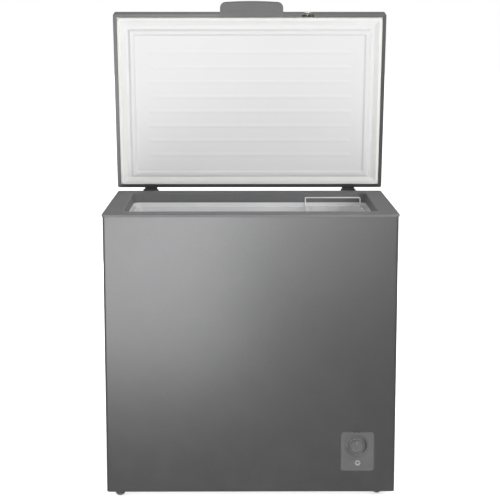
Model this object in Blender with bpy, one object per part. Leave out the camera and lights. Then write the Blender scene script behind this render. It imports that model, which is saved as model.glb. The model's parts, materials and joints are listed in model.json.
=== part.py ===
"""A chest freezer with its lid open, for a parts library.

Metres, +Z up, the front faces -Y.  Each named object is one separate sub-part and
one closed body.  The lid parts hang from an empty on the hinge axis; the knob, the
lock, the basket and the drain plug have their origins on their own joint axes.
"""

import math

import bmesh
import bpy
from mathutils import Vector

# ---------------------------------------------------------------- driving sizes
CABINET_W = 0.802        # outer width of the sheet-metal cabinet
CABINET_D = 0.5166       # outer depth of the cabinet
RIM_TOP = 0.8005         # height of the top frame above the floor
FOOT_H = 0.018           # height of the feet
SHEET = 0.0008           # steel sheet
GAP = 0.0003             # assembly gap between neighbouring parts
CABINET_R = 0.007        # plan radius of the cabinet corners

RIM_OVERHANG = 0.0024    # how far the top frame stands out past the cabinet
RIM_SKIRT = 0.0090       # height of the frame's outer skirt
RIM_WALL = 0.0021        # wall of the frame moulding
RIM_FLANGE_X = 0.0510    # flange width at the sides, cabinet face to opening
RIM_FLANGE_Y = 0.0500    # flange width at the front and back
COLLAR_H = 0.0300        # depth of the collar that lines the opening
OPENING_R = 0.024        # plan radius of the opening

LINER_WALL = 0.0015
LINER_STEP_IN = 0.0050   # ledge between the collar and the liner
LINER_FLANGE = 0.0085    # the liner's flange, from its wall outward
LINER_LIP = 0.0120       # how far the flange's upturned lip reaches behind the collar
LEDGE_DROP = 0.0425      # depth of the basket ledge below the rim
FLOOR_Z = 0.0700         # inside floor of the bin
COIL_GAP = 0.0058        # space left for the tubes against liner and cabinet

BAY_W = 0.2510           # machinery bay, from the cabinet's right side
BAY_TOP = 0.2450         # roof of the machinery bay
STEP_ASIDE = 0.0350      # side of the raised floor, inward of the bay
STEP_OVER = 0.0400       # top of the raised floor, over the bay's roof

LID_SIDE = 0.0050        # how far the lid stands out past the cabinet's sides
LID_REAR = 0.0079        # and past its back
LID_T = 0.0480           # height of the lid's outer skin
LID_LIFT = 0.0050        # gap between the closed lid's edge and the rim
LID_FRONT = -0.0085      # closed lid's front edge, from the cabinet front
LID_BORDER = 0.0105      # return flange round the lid's underside
LID_R = 0.0060
LID_OPEN = 81.5          # degrees from closed to the rest pose

HINGE_IN = 0.0977        # hinge centres, inward of the cabinet's sides
HINGE_W = 0.0445
HINGE_BACK = 0.0168      # hinge axis behind the cabinet
HINGE_DROP = 0.0030      # hinge axis below the rim
PIN_R = 0.0030
KNUCKLE_R = 0.0065
EAR_R = 0.0075

HANDLE_W = 0.1875
HANDLE_OUT = 0.0370
HANDLE_R = 0.0160
HANDLE_X = 0.0055        # the pull's middle, right of the lid's middle
HANDLE_BOW = 0.0039      # how much its front edge falls back towards the ends

PANEL_W = 0.0988
PANEL_H = 0.1174
PANEL_IN = 0.1045        # panel's centre, inward of the cabinet's right side
PANEL_Z = 0.1337
PANEL_R = 0.0120
PANEL_GROOVE = 0.0036
PANEL_DEEP = 0.0100
DIAL_OFF = (-0.0030, 0.0173)   # dial's centre from the panel's
DIAL_R = 0.0330
DIAL_DEEP = 0.0022
KNOB_R = 0.0225
KNOB_OUT = 0.0085
LAMP_OFF = (0.0005, -0.0327)   # lamp's centre from the panel's
LAMP_R = 0.0087

LOCK_ASIDE = 0.07375     # lock's centre, right of the pull's right end
LOCK_UP = 0.52           # its height, as a share of the lid's skin
CAM_CLEAR = 0.0120       # from the turned-down cam's end to the rim
LOCK_SLOT = (0.0380, 0.0070)
LOCK_R = 0.0070

BASKET_IN = (0.1840, 0.0130)   # basket's sides, inward of the opening's right side
BASKET_DEEP = 0.1900
BASKET_BARS = ((4, 0.0226), (9, 0.0200))   # bars along and across, and their margins
WIRE_R = 0.0023
BASKET_LOOP = 0.0250     # height of the end loops over the frame wire
BASKET_CLEAR = 0.0025    # between the basket ends and the collar

DRAIN_IN = 0.1110        # drain's centre, inward of the cabinet's left side
DRAIN_BACK = 0.1300      # and behind the cabinet front
DRAIN_R = 0.0070

RIDGE_SHIFT = 0.0060     # the tray's raised field, towards the hinges
RIDGE_GROW = 0.0035      # and how much deeper it is than the lid's own outline
RIDGE_R = 0.0040
RIBS = 8                 # ribs on the lid's tray
RIB_FIELD = 0.2180       # what the ribs leave free of the lid's depth
RIB_END = 0.1050         # rib ends, inward of the lid's sides

WINDOW = (0.0220, 0.0290, 0.2180, 0.0320)   # rear window: sides from the bay's inner
                                            # side, edges in from feet and bay roof
GRILLE_EDGE = 0.0120     # grille past the window on every side
GLAND_DROP = 0.0160      # cord gland below the bay's roof
SLOT_ROWS = 10
SLOT_PITCH = 0.0155

FOOT_LEFT = (0.0350, 0.0300, 0.0450)    # foot centres in from the left side, the
FOOT_RIGHT = (0.0450, 0.0480, 0.0450)   # front and the back; and from the right side
STUD = (0.0970, 0.0180)  # small stop under the bay, from its inner side and the front
STUD_LOW = 0.0148        # height of the stop's face above the floor

COMPRESSOR = (0.1250, 0.1900)   # axis from the bay's inner side, and from the back
COMPRESSOR_R = 0.0615
COMPRESSOR_HEAD = 0.0425        # free height over it, below the bay's roof
GROMMET_H = 0.0130

# ------------------------------------------------------------- derived positions
HALF_W = CABINET_W / 2
LID_W = CABINET_W + 2 * LID_SIDE
LID_D = CABINET_D + LID_REAR - LID_FRONT
BAY_X = HALF_W - BAY_W
STEP_X = BAY_X - STEP_ASIDE
STEP_Z = BAY_TOP + STEP_OVER
HINGE_X = HALF_W - HINGE_IN
PANEL_X = HALF_W - PANEL_IN
DIAL = (PANEL_X + DIAL_OFF[0], PANEL_Z + DIAL_OFF[1])
LAMP = (PANEL_X + LAMP_OFF[0], PANEL_Z + LAMP_OFF[1])
LOCK_X = HANDLE_X + HANDLE_W / 2 + LOCK_ASIDE
LOCK_Z = RIM_TOP + LID_LIFT + LID_T * LOCK_UP
CAM_REACH = LOCK_Z - RIM_TOP - CAM_CLEAR
DRAIN = (-HALF_W + DRAIN_IN, DRAIN_BACK)
RIB_PITCH = (LID_D - RIB_FIELD) / (RIBS - 1)
WINDOW_X = (BAY_X + WINDOW[0], BAY_X + WINDOW[2])
WINDOW_Z = (FOOT_H + WINDOW[1], BAY_TOP - WINDOW[3])
HINGE_Z = RIM_TOP - HINGE_DROP
LID_TOP = RIM_TOP + LID_LIFT + LID_T
LID_BACK = LID_FRONT + LID_D


def open_lid(y, z):
    """Where a point of the closed lid lies once the lid stands open."""
    a = math.radians(LID_OPEN)
    dy = y - (CABINET_D + HINGE_BACK)
    dz = z - HINGE_Z
    back = CABINET_D + HINGE_BACK + dy * math.cos(a) + dz * math.sin(a)
    return back, HINGE_Z - dy * math.sin(a) + dz * math.cos(a)


KNOB_FACE = -0.0010 - KNOB_OUT
FRONT = -(open_lid(LID_BACK, LID_TOP)[0] + KNOB_FACE) / 2   # cabinet front face
BACK = FRONT + CABINET_D
HINGE = Vector((0, BACK + HINGE_BACK, HINGE_Z))
OPEN_X = HALF_W - RIM_FLANGE_X
BASKET_X = (OPEN_X - BASKET_IN[0], OPEN_X - BASKET_IN[1])
GLAND = (BAY_X + COMPRESSOR[0] - 0.0050, BAY_TOP - GLAND_DROP)
OPEN_Y0 = FRONT + RIM_FLANGE_Y
OPEN_Y1 = BACK - RIM_FLANGE_Y
OPEN_MID = (OPEN_Y0 + OPEN_Y1) / 2
OPEN_D = OPEN_Y1 - OPEN_Y0
MID_Y = (FRONT + BACK) / 2
LEDGE_Z = RIM_TOP - LEDGE_DROP
FRAME_WIRE_Z = LEDGE_Z + WIRE_R + GAP
LID_MID = FRONT + (LID_FRONT + LID_BACK) / 2

# --------------------------------------------------------------------- materials
FINISH = {
    "graphite_paint": ((0.19, 0.19, 0.195), 0.38, 0.55),
    "grey_frame": ((0.16, 0.16, 0.165), 0.50, 0.0),
    "white_plastic": ((0.86, 0.86, 0.85), 0.45, 0.0),
    "liner_metal": ((0.62, 0.63, 0.64), 0.30, 0.85),
    "foam": ((0.83, 0.76, 0.55), 0.95, 0.0),
    "galvanised": ((0.52, 0.53, 0.55), 0.45, 0.9),
    "dark_plastic": ((0.09, 0.09, 0.095), 0.45, 0.0),
    "panel_plastic": ((0.13, 0.13, 0.135), 0.42, 0.0),
    "lamp_ring": ((0.42, 0.42, 0.43), 0.35, 0.0),
    "lamp_green": ((0.08, 0.35, 0.12), 0.20, 0.0),
    "gasket_white": ((0.84, 0.84, 0.82), 0.65, 0.0),
    "wire_white": ((0.90, 0.90, 0.90), 0.30, 0.0),
    "black_enamel": ((0.02, 0.02, 0.02), 0.35, 0.0),
    "copper": ((0.72, 0.36, 0.22), 0.35, 1.0),
    "zinc": ((0.60, 0.60, 0.60), 0.35, 1.0),
    "black_rubber": ((0.03, 0.03, 0.03), 0.80, 0.0),
    "chrome": ((0.75, 0.75, 0.76), 0.12, 1.0),
}


def material(name):
    found = bpy.data.materials.get(name)
    if found:
        return found
    colour, rough, metal = FINISH[name]
    made = bpy.data.materials.new(name)
    made.use_nodes = True
    shader = made.node_tree.nodes["Principled BSDF"]
    shader.inputs["Base Color"].default_value = (*colour, 1)
    shader.inputs["Roughness"].default_value = rough
    shader.inputs["Metallic"].default_value = metal
    return made


# ----------------------------------------------------------------- mesh builders
def make(name, verts, faces, finish, origin=(0, 0, 0), parent=None, smooth=False):
    """One object; its vertices are given in the frame of the whole freezer."""
    origin = Vector(origin)
    mesh = bpy.data.meshes.new(name)
    mesh.from_pydata([Vector(v) - origin for v in verts], [], faces)
    bm = bmesh.new()
    bm.from_mesh(mesh)
    bmesh.ops.recalc_face_normals(bm, faces=bm.faces)
    bm.to_mesh(mesh)
    bm.free()
    obj = bpy.data.objects.new(name, mesh)
    bpy.context.scene.collection.objects.link(obj)
    obj.parent = parent
    obj.location = (0, 0, 0) if parent else origin
    if smooth:
        mesh.polygons.foreach_set("use_smooth", [True] * len(mesh.polygons))
    if finish:
        mesh.materials.append(material(finish))
    return obj


def skin(rings, closed=False):
    """Vertices and faces over rings of equal length, capped unless they close."""
    n = len(rings[0])
    verts = [p for ring in rings for p in ring]
    count = len(rings)
    faces = []
    for i in range(count if closed else count - 1):
        a = i * n
        b = ((i + 1) % count) * n
        for k in range(n):
            m = (k + 1) % n
            faces.append((a + k, a + m, b + m, b + k))
    if not closed:
        faces.append(tuple(range(n))[::-1])
        faces.append(tuple(range((count - 1) * n, count * n)))
    return verts, faces


def box_mesh(low, high):
    x0, y0, z0 = low
    x1, y1, z1 = high
    rings = []
    for z in (z0, z1):
        rings.append([(x0, y0, z), (x1, y0, z), (x1, y1, z), (x0, y1, z)])
    return skin(rings)


def merge(parts):
    """Several separate (verts, faces) pairs as one mesh."""
    verts = []
    faces = []
    for v, f in parts:
        base = len(verts)
        verts += v
        faces += [tuple(i + base for i in face) for face in f]
    return verts, faces


def box(name, low, high, finish, **more):
    return make(name, *box_mesh(low, high), finish, **more)


def rounded(half_x, half_y, radius, steps=4, centre=(0, 0)):
    """A rounded rectangle, counter-clockwise, 4 * (steps + 1) points."""
    r = max(radius, 0.0004)
    points = []
    for corner, (sx, sy) in enumerate(((1, 1), (-1, 1), (-1, -1), (1, -1))):
        cx = centre[0] + sx * (half_x - r)
        cy = centre[1] + sy * (half_y - r)
        for k in range(steps + 1):
            a = math.pi / 2 * (corner + k / steps)
            points.append((cx + r * math.cos(a), cy + r * math.sin(a)))
    return points


def plan_ring(half_x, half_y, radius, z, mid_y, steps=4, mid_x=0):
    return [(x, y, z) for x, y in rounded(half_x, half_y, radius, steps, (mid_x, mid_y))]


def face_ring(half_x, half_z, radius, y, mid, steps=4):
    """A rounded rectangle standing in the XZ plane at depth y."""
    return [(x, y, z) for x, z in rounded(half_x, half_z, radius, steps, mid)]


def prism(name, outline, x0, x1, finish, **more):
    """An outline of (y, z) points run along X."""
    rings = [[(x, y, z) for y, z in outline] for x in (x0, x1)]
    return make(name, *skin(rings), finish, **more)


def turned_mesh(profile, centre, axis, sides=24, oval=1.0):
    """A closed profile of (radius, height) spun about an axis through centre."""
    axis = Vector(axis)
    u = axis.orthogonal().normalized()
    if abs(axis.z) > 0.9:
        u = Vector((1, 0, 0))
    v = axis.cross(u)
    rings = []
    for r, h in profile:
        ring = []
        for k in range(sides):
            a = 2 * math.pi * k / sides
            offset = u * (r * math.cos(a)) + v * (r * oval * math.sin(a))
            ring.append(tuple(Vector(centre) + offset + axis * h))
        rings.append(ring)
    return rings


def turned(name, profile, centre, axis, finish, sides=24, oval=1.0, closed=False, **more):
    verts, faces = skin(turned_mesh(profile, centre, axis, sides, oval), closed)
    return make(name, verts, faces, finish, smooth=True, **more)


def rod(centre, axis, radius, length, sides=16):
    """A plain cylinder from centre along axis, as (verts, faces)."""
    return skin(turned_mesh([(radius, 0), (radius, length)], centre, axis, sides))


def eased(points, radius, steps=3):
    """A path with each inner corner rounded."""
    path = [Vector(points[0])]
    for i in range(1, len(points) - 1):
        here = Vector(points[i])
        before = (Vector(points[i - 1]) - here).normalized()
        after = (Vector(points[i + 1]) - here).normalized()
        half = before.angle(after) / 2
        cut = radius / math.tan(half)
        centre = here + (before + after).normalized() * radius / math.sin(half)
        start = (here + before * cut - centre).normalized()
        end = (here + after * cut - centre).normalized()
        for k in range(steps + 1):
            path.append(centre + start.slerp(end, k / steps) * radius)
    path.append(Vector(points[-1]))
    return path


def tube_mesh(path, radius, sides=8, closed=False):
    """A round tube along a path, as (verts, faces)."""
    path = [Vector(p) for p in path]
    count = len(path)
    tangents = []
    for i in range(count):
        ahead = path[(i + 1) % count] if closed or i < count - 1 else path[i]
        behind = path[i - 1] if closed or i > 0 else path[i]
        tangents.append((ahead - behind).normalized())
    normal = tangents[0].orthogonal().normalized()
    rings = []
    for i in range(count):
        if i:
            turn = tangents[i - 1].rotation_difference(tangents[i])
            normal = turn @ normal
        side = tangents[i].cross(normal).normalized()
        normal = side.cross(tangents[i]).normalized()
        ring = []
        for k in range(sides):
            a = 2 * math.pi * (k + 0.5) / sides
            offset = normal * (radius * math.cos(a)) + side * (radius * math.sin(a))
            ring.append(tuple(path[i] + offset))
        rings.append(ring)
    return skin(rings, closed)


def boolean(target, operation, tool):
    step = target.modifiers.new(tool.name, "BOOLEAN")
    step.operation = operation
    step.solver = "EXACT"
    step.object = tool


def tool(name, mesh, parent=None):
    """A hidden body that only cuts or joins."""
    made = make(name, *mesh, None, parent=parent, origin=HINGE if parent else (0, 0, 0))
    made.hide_render = True
    made.display_type = "WIRE"
    return made


def cut(target, name, parts, parent=None):
    boolean(target, "DIFFERENCE", tool(name, merge(parts), parent))


def join(target, name, parts, parent=None):
    boolean(target, "UNION", tool(name, merge(parts), parent))


# ----------------------------------------------------------------------- cabinet
def outer_shell():
    """One steel sheet wrapped round both sides, with short returns at the back."""
    def path(inset):
        half_x = HALF_W - inset
        half_y = CABINET_D / 2 - inset
        ring = rounded(half_x, half_y, CABINET_R - inset, 4, (0, MID_Y))
        # start at the back-left corner, go round the front, end at the back right
        ring = ring[5:] + ring[:5]
        end = HALF_W - CABINET_R - 0.002
        back = MID_Y + half_y
        return [(-end, back)] + ring + [(end, back)]

    outer = path(0)
    inner = path(SHEET)
    rings = []
    for (ox, oy), (ix, iy) in zip(outer, inner):
        top = RIM_TOP - RIM_WALL - 2 * GAP
        rings.append([(ox, oy, FOOT_H), (ix, iy, FOOT_H), (ix, iy, top), (ox, oy, top)])
    shell = make("outer_shell", *skin(rings), "graphite_paint")
    hole = skin([
        face_ring(PANEL_W / 2, PANEL_H / 2, PANEL_R, y, (PANEL_X, PANEL_Z))
        for y in (FRONT - 0.01, FRONT + 0.01)
    ])
    cut(shell, "cut_panel_opening", [hole])


def rear_panel():
    half = HALF_W - CABINET_R - 0.002 - GAP
    top = RIM_TOP - RIM_WALL - 2 * GAP
    panel = box("rear_panel", (-half, BACK - SHEET, FOOT_H), (half, BACK, top), "galvanised")
    window = box_mesh((WINDOW_X[0], BACK - 0.01, WINDOW_Z[0]),
                      (WINDOW_X[1], BACK + 0.01, WINDOW_Z[1]))
    cord_hole = rod((GLAND[0], BACK - 0.01, GLAND[1]), (0, 1, 0), 0.0063, 0.02)
    cut(panel, "cut_rear_openings", [window, cord_hole])


def bottom_panels():
    y0 = FRONT + SHEET + GAP
    y1 = BACK - SHEET - GAP
    mid = (y0 + y1) / 2
    for name, x0, x1, thick, finish in (
        ("bottom_panel", -HALF_W + SHEET + GAP, BAY_X - GAP, 0.0010, "galvanised"),
        ("base_plate", BAY_X + GAP, HALF_W - SHEET - GAP, 0.0016, "galvanised"),
    ):
        rings = [
            plan_ring((x1 - x0) / 2, (y1 - y0) / 2, CABINET_R - SHEET, z, mid, 3, (x0 + x1) / 2)
            for z in (FOOT_H, FOOT_H + thick)
        ]
        plate = make(name, *skin(rings), finish)
        if name == "bottom_panel":
            at = (DRAIN[0], FRONT + DRAIN[1], FOOT_H - 0.01)
            cut(plate, "cut_drain_way", [rod(at, (0, 0, 1), 0.0093, 0.03)])


def bay_partition():
    """The folded sheet that closes the machinery bay off from the foam."""
    floor = FOOT_H + 0.0016 + GAP
    x1 = HALF_W - SHEET - COIL_GAP
    y0 = FRONT + SHEET + COIL_GAP
    y1 = BACK - SHEET - COIL_GAP
    outline = [
        (BAY_X, floor), (BAY_X + SHEET, floor), (BAY_X + SHEET, BAY_TOP - SHEET),
        (x1, BAY_TOP - SHEET), (x1, BAY_TOP), (BAY_X, BAY_TOP),
    ]
    rings = [[(x, y, z) for x, z in outline] for y in (y0, y1)]
    make("bay_partition", *skin(rings), "galvanised")


def top_frame():
    """The moulded frame: outer skirt, wide flange and the collar in the opening."""
    def inner(grow, z):
        return plan_ring(OPEN_X + grow, OPEN_D / 2 + grow, OPENING_R + grow, z, OPEN_MID)

    def outer(inset, z):
        half_x = HALF_W + RIM_OVERHANG - inset
        half_y = CABINET_D / 2 + RIM_OVERHANG - inset
        return plan_ring(half_x, half_y, CABINET_R + RIM_OVERHANG - inset, z, MID_Y)

    top = RIM_TOP
    under = top - RIM_WALL - GAP
    rings = [
        inner(0, top - COLLAR_H), inner(0, top - 0.004), inner(0.0012, top - 0.0012),
        inner(0.004, top), outer(0.003, top), outer(0.0009, top - 0.0009),
        outer(0, top - 0.003), outer(0, top - RIM_SKIRT), outer(RIM_WALL, top - RIM_SKIRT),
        outer(RIM_WALL, under), inner(RIM_WALL, under), inner(RIM_WALL, top - COLLAR_H),
    ]
    make("top_frame", *skin(rings, closed=True), "grey_frame")


def liner_plug(grow, upper_low, top):
    """The bin's two boxes, full width above the machinery, narrower below it."""
    half_x = OPEN_X - LINER_STEP_IN + grow
    half_y = OPEN_D / 2 - LINER_STEP_IN + grow
    radius = OPENING_R + grow
    upper = skin([
        plan_ring(half_x - 0.006, half_y - 0.006, radius, upper_low - grow, OPEN_MID),
        plan_ring(half_x, half_y, radius, upper_low - grow + 0.006, OPEN_MID),
        plan_ring(half_x, half_y, radius, top, OPEN_MID),
    ])
    x1 = STEP_X + grow
    mid_x = (x1 - half_x) / 2
    half = (x1 + half_x) / 2
    draft = 0.0015
    levels = ((0.0060, FLOOR_Z - grow), (0, FLOOR_Z - grow + 0.006), (0, STEP_Z + 0.021))
    lower = skin([
        plan_ring(half - draft - inset, half_y - draft - inset, radius - 0.003, z, OPEN_MID,
                  4, mid_x)
        for inset, z in levels
    ])
    return upper, lower


def inner_liner():
    """The bin, with the raised floor at the right and a flange under the collar."""
    half_x = OPEN_X - LINER_STEP_IN
    half_y = OPEN_D / 2 - LINER_STEP_IN
    wall = LINER_WALL
    lip = LINER_FLANGE - LINER_STEP_IN
    lip_top = RIM_TOP - COLLAR_H + LINER_LIP
    rings = [
        plan_ring(half_x + wall - 0.006, half_y + wall - 0.006, OPENING_R + wall,
                  STEP_Z - wall, OPEN_MID),
        plan_ring(half_x + wall, half_y + wall, OPENING_R + wall, STEP_Z - wall + 0.006,
                  OPEN_MID),
        plan_ring(half_x + wall, half_y + wall, OPENING_R + wall, LEDGE_Z - wall, OPEN_MID),
        plan_ring(OPEN_X + lip, OPEN_D / 2 + lip, OPENING_R + lip, LEDGE_Z - wall, OPEN_MID),
        plan_ring(OPEN_X + lip, OPEN_D / 2 + lip, OPENING_R + lip, lip_top, OPEN_MID),
    ]
    liner = make("inner_liner", *skin(rings), "liner_metal")
    join(liner, "join_liner_well", [liner_plug(wall, STEP_Z, LEDGE_Z - 0.01)[1]])
    upper, lower = liner_plug(0, STEP_Z, LEDGE_Z + 0.01)
    clear = RIM_WALL + GAP
    neck = skin([
        plan_ring(OPEN_X + clear, OPEN_D / 2 + clear, OPENING_R + clear, z, OPEN_MID)
        for z in (LEDGE_Z, RIM_TOP)
    ])
    cut(liner, "cut_liner_neck", [neck])
    cut(liner, "cut_liner_bin", [upper])
    cut(liner, "cut_liner_well", [lower])
    at = (DRAIN[0], FRONT + DRAIN[1], FLOOR_Z - 0.02)
    cut(liner, "cut_liner_drain", [rod(at, (0, 0, 1), DRAIN_R, 0.04)])


def cabinet_foam():
    """The insulation poured between cabinet, bay and liner."""
    x = HALF_W - SHEET - COIL_GAP
    low = (-x, FRONT + SHEET + COIL_GAP, FOOT_H + 0.0010 + GAP)
    high = (x, BACK - SHEET - COIL_GAP, RIM_TOP - RIM_WALL - 3 * GAP)
    foam = box("cabinet_foam", low, high, "foam")
    bay = box_mesh((BAY_X - GAP, FRONT - 0.1, 0), (x + 0.1, BACK + 0.1, BAY_TOP + GAP))
    cut(foam, "cut_foam_bay", [bay])
    grow = LINER_WALL + COIL_GAP
    upper, lower = liner_plug(grow, STEP_Z + COIL_GAP - GAP, RIM_TOP + 0.1)
    cut(foam, "cut_foam_bin", [upper])
    cut(foam, "cut_foam_well", [liner_plug(LINER_WALL + GAP, STEP_Z, RIM_TOP)[1]])
    neck = LINER_FLANGE - LINER_STEP_IN + GAP
    collar = skin([
        plan_ring(OPEN_X + neck, OPEN_D / 2 + neck, OPENING_R + neck, z, OPEN_MID)
        for z in (LEDGE_Z - LINER_WALL - GAP, RIM_TOP + 0.1)
    ])
    cut(foam, "cut_foam_neck", [collar])
    at = (DRAIN[0], FRONT + DRAIN[1], 0)
    cut(foam, "cut_foam_drain", [rod(at, (0, 0, 1), 0.0093, 0.1)])


def coils():
    """The evaporator wound round the bin and the condenser behind the left side."""
    out = LINER_WALL + COIL_GAP / 2
    x = OPEN_X - LINER_STEP_IN + out
    y = OPEN_D / 2 - LINER_STEP_IN + out
    turns = 5
    top = LEDGE_Z - 0.040
    pitch = (top - STEP_Z - 0.055) / turns
    points = [(0, OPEN_MID + y, top)]
    for k in range(4 * turns):
        sx, sy = ((-1, 1), (-1, -1), (1, -1), (1, 1))[k % 4]
        points.append((sx * x, OPEN_MID + sy * y, top - pitch * (k + 0.5) / 4))
    points.append((0, OPEN_MID + y, top - pitch * turns))
    path = eased(points, OPENING_R + out, 4)
    make("evaporator_coil", *tube_mesh(path, 0.0023), "copper", smooth=True)
    x = -HALF_W + SHEET + COIL_GAP / 2
    points = []
    rows = 6
    for k in range(rows):
        z = 0.090 + k * (RIM_TOP - 0.190) / (rows - 1)
        ends = [(x, FRONT + 0.045, z), (x, BACK - 0.045, z)]
        points += ends if k % 2 == 0 else ends[::-1]
    path = eased(points, 0.025, 3)
    make("condenser_coil", *tube_mesh(path, 0.0023), "copper", smooth=True)


def feet():
    """Four domed glides, those under the bay a little further in, and a small stop."""
    profile = [(0.0065, 0), (0.0100, 0.0022), (0.0132, 0.0075), (0.0149, 0.0135),
               (0.0149, FOOT_H - GAP)]
    spots = ((-HALF_W + FOOT_LEFT[0], FRONT + FOOT_LEFT[1]),
             (HALF_W - FOOT_RIGHT[0], FRONT + FOOT_RIGHT[1]),
             (-HALF_W + FOOT_LEFT[0], BACK - FOOT_LEFT[2]),
             (HALF_W - FOOT_RIGHT[0], BACK - FOOT_RIGHT[2]))
    for k, (x, y) in enumerate(spots, 1):
        turned(f"foot_{k}", profile, (x, y, 0), (0, 0, 1), "black_rubber", 20)
    profile = [(0.0040, STUD_LOW), (0.0062, STUD_LOW + 0.0011), (0.0070, FOOT_H - GAP)]
    spot = (BAY_X + STUD[0], FRONT + STUD[1], 0)
    turned("base_stud", profile, spot, (0, 0, 1), "black_rubber", 16)


def machinery():
    """The compressor on its cradle, with relay cover, drier and pipes, in the bay."""
    x, y = BAY_X + COMPRESSOR[0], BACK - COMPRESSOR[1]
    plate = FOOT_H + 0.0016 + GAP
    for k, (sx, sy) in enumerate(((-1, -1), (1, -1), (1, 1), (-1, 1)), 1):
        spot = (x + sx * 0.060, y + sy * 0.078, plate)
        profile = [(0.011, 0), (0.011, 0.004), (0.0085, 0.006), (0.011, 0.009),
                   (0.010, GROMMET_H)]
        turned(f"grommet_{k}", profile, spot, (0, 0, 1), "black_rubber", 14)
    z = plate + GROMMET_H + GAP
    rings = [plan_ring(0.075, 0.093, 0.012, h, y, 3, x) for h in (z, z + 0.002)]
    make("compressor_cradle", *skin(rings), "black_enamel")
    z += 0.002 + GAP
    tall = BAY_TOP - COMPRESSOR_HEAD - z
    profile = [(0.030, 0), (0.048, 0.006), (0.057, 0.022), (0.058, 0.080), (COMPRESSOR_R, 0.082),
               (COMPRESSOR_R, 0.086), (0.058, 0.088), (0.057, tall - 0.032),
               (0.049, tall - 0.012), (0.028, tall)]
    turned("compressor", profile, (x, y, z), (0, 0, 1), "black_enamel", 24, 1.25)
    low = (x + COMPRESSOR_R + GAP, y - 0.024, z + 0.030)
    box("relay_cover", low, (low[0] + 0.028, y + 0.024, z + 0.074), "dark_plastic")
    front = y - 0.058 * 1.25 - 0.0008
    path = eased([(x - 0.02, front + 0.004, z + 0.115), (x - 0.02, front - 0.030, z + 0.115),
                  (BAY_X + 0.030, front - 0.030, z + 0.115),
                  (BAY_X + 0.030, front - 0.030, BAY_TOP - 0.030),
                  (BAY_X + SHEET + GAP, front - 0.030, BAY_TOP - 0.030)], 0.010)
    make("suction_pipe", *tube_mesh(path, 0.0035), "copper", smooth=True)
    path = eased([(x + 0.01, front - 0.001, z + 0.045), (x + 0.01, front - 0.050, z + 0.045),
                  (BAY_X + 0.045, front - 0.050, z + 0.045),
                  (BAY_X + 0.045, front - 0.050, z + 0.0744),
                  (BAY_X + SHEET + GAP, front - 0.050, z + 0.0744)], 0.010)
    make("discharge_pipe", *tube_mesh(path, 0.0027), "copper", smooth=True)
    profile = [(0.0025, 0), (0.0030, 0.012), (0.0090, 0.020), (0.0090, 0.085), (0.0030, 0.095),
               (0.0020, 0.107)]
    spot = (BAY_X + 0.022, BACK - 0.150, plate + 0.030)
    turned("filter_drier", profile, spot, (0, 0, 1), "copper", 16)


def rear_grille():
    """The slotted cover over the bay at the back, its screws and the cord gland."""
    y0 = BACK + GAP
    x0, x1 = WINDOW_X[0] - GRILLE_EDGE, WINDOW_X[1] + GRILLE_EDGE
    z0, z1 = WINDOW_Z[0] - GRILLE_EDGE, WINDOW_Z[1] + GRILLE_EDGE / 2
    mid = ((x0 + x1) / 2, (z0 + z1) / 2)
    half = ((x1 - x0) / 2, (z1 - z0) / 2)
    rings = [face_ring(*half, 0.006, y0, mid, 2), face_ring(*half, 0.006, y0 + 0.0014, mid, 2)]
    grille = make("rear_grille", *skin(rings), "dark_plastic")
    slots = []
    post = GRILLE_EDGE / 2
    columns = ((x0 + 0.022, mid[0] - post), (mid[0] + post, x1 - 0.022))
    for row in range(SLOT_ROWS):
        z = WINDOW_Z[0] + 0.013 + row * SLOT_PITCH * (WINDOW_Z[1] - WINDOW_Z[0]) / 0.166
        for left, right in columns:
            slots.append(box_mesh((left, y0 - 0.01, z - 0.003), (right, y0 + 0.01, z + 0.003)))
    spots = [(x, z) for x in (x0 + 0.007, x1 - 0.007) for z in (z0 + 0.009, z1 - 0.009)]
    holes = [rod((x, y0 - 0.01, z), (0, 1, 0), 0.0022, 0.02, 12) for x, z in spots]
    cut(grille, "cut_grille_slots", slots + holes)
    for k, (x, z) in enumerate(spots, 1):
        screw(f"grille_screw_{k}", (x, y0 + 0.0014, z), 0.0012)
    profile = [(0.0035, -0.008), (0.0058, -0.008), (0.0058, GAP), (0.0092, GAP),
               (0.0085, 0.0045), (0.0050, 0.0055), (0.0035, 0.0055)]
    turned("cord_gland", profile, (GLAND[0], BACK, GLAND[1]), (0, 1, 0), "black_rubber", 20,
           closed=True)


def screw(name, seat, depth):
    """A domed screw whose head seats on a face that looks to +Y."""
    profile = [(0.0018, -depth), (0.0018, GAP), (0.0038, GAP), (0.0034, 0.0014),
               (0.0018, 0.0021)]
    turned(name, profile, seat, (0, 1, 0), "zinc", 12)


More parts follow.
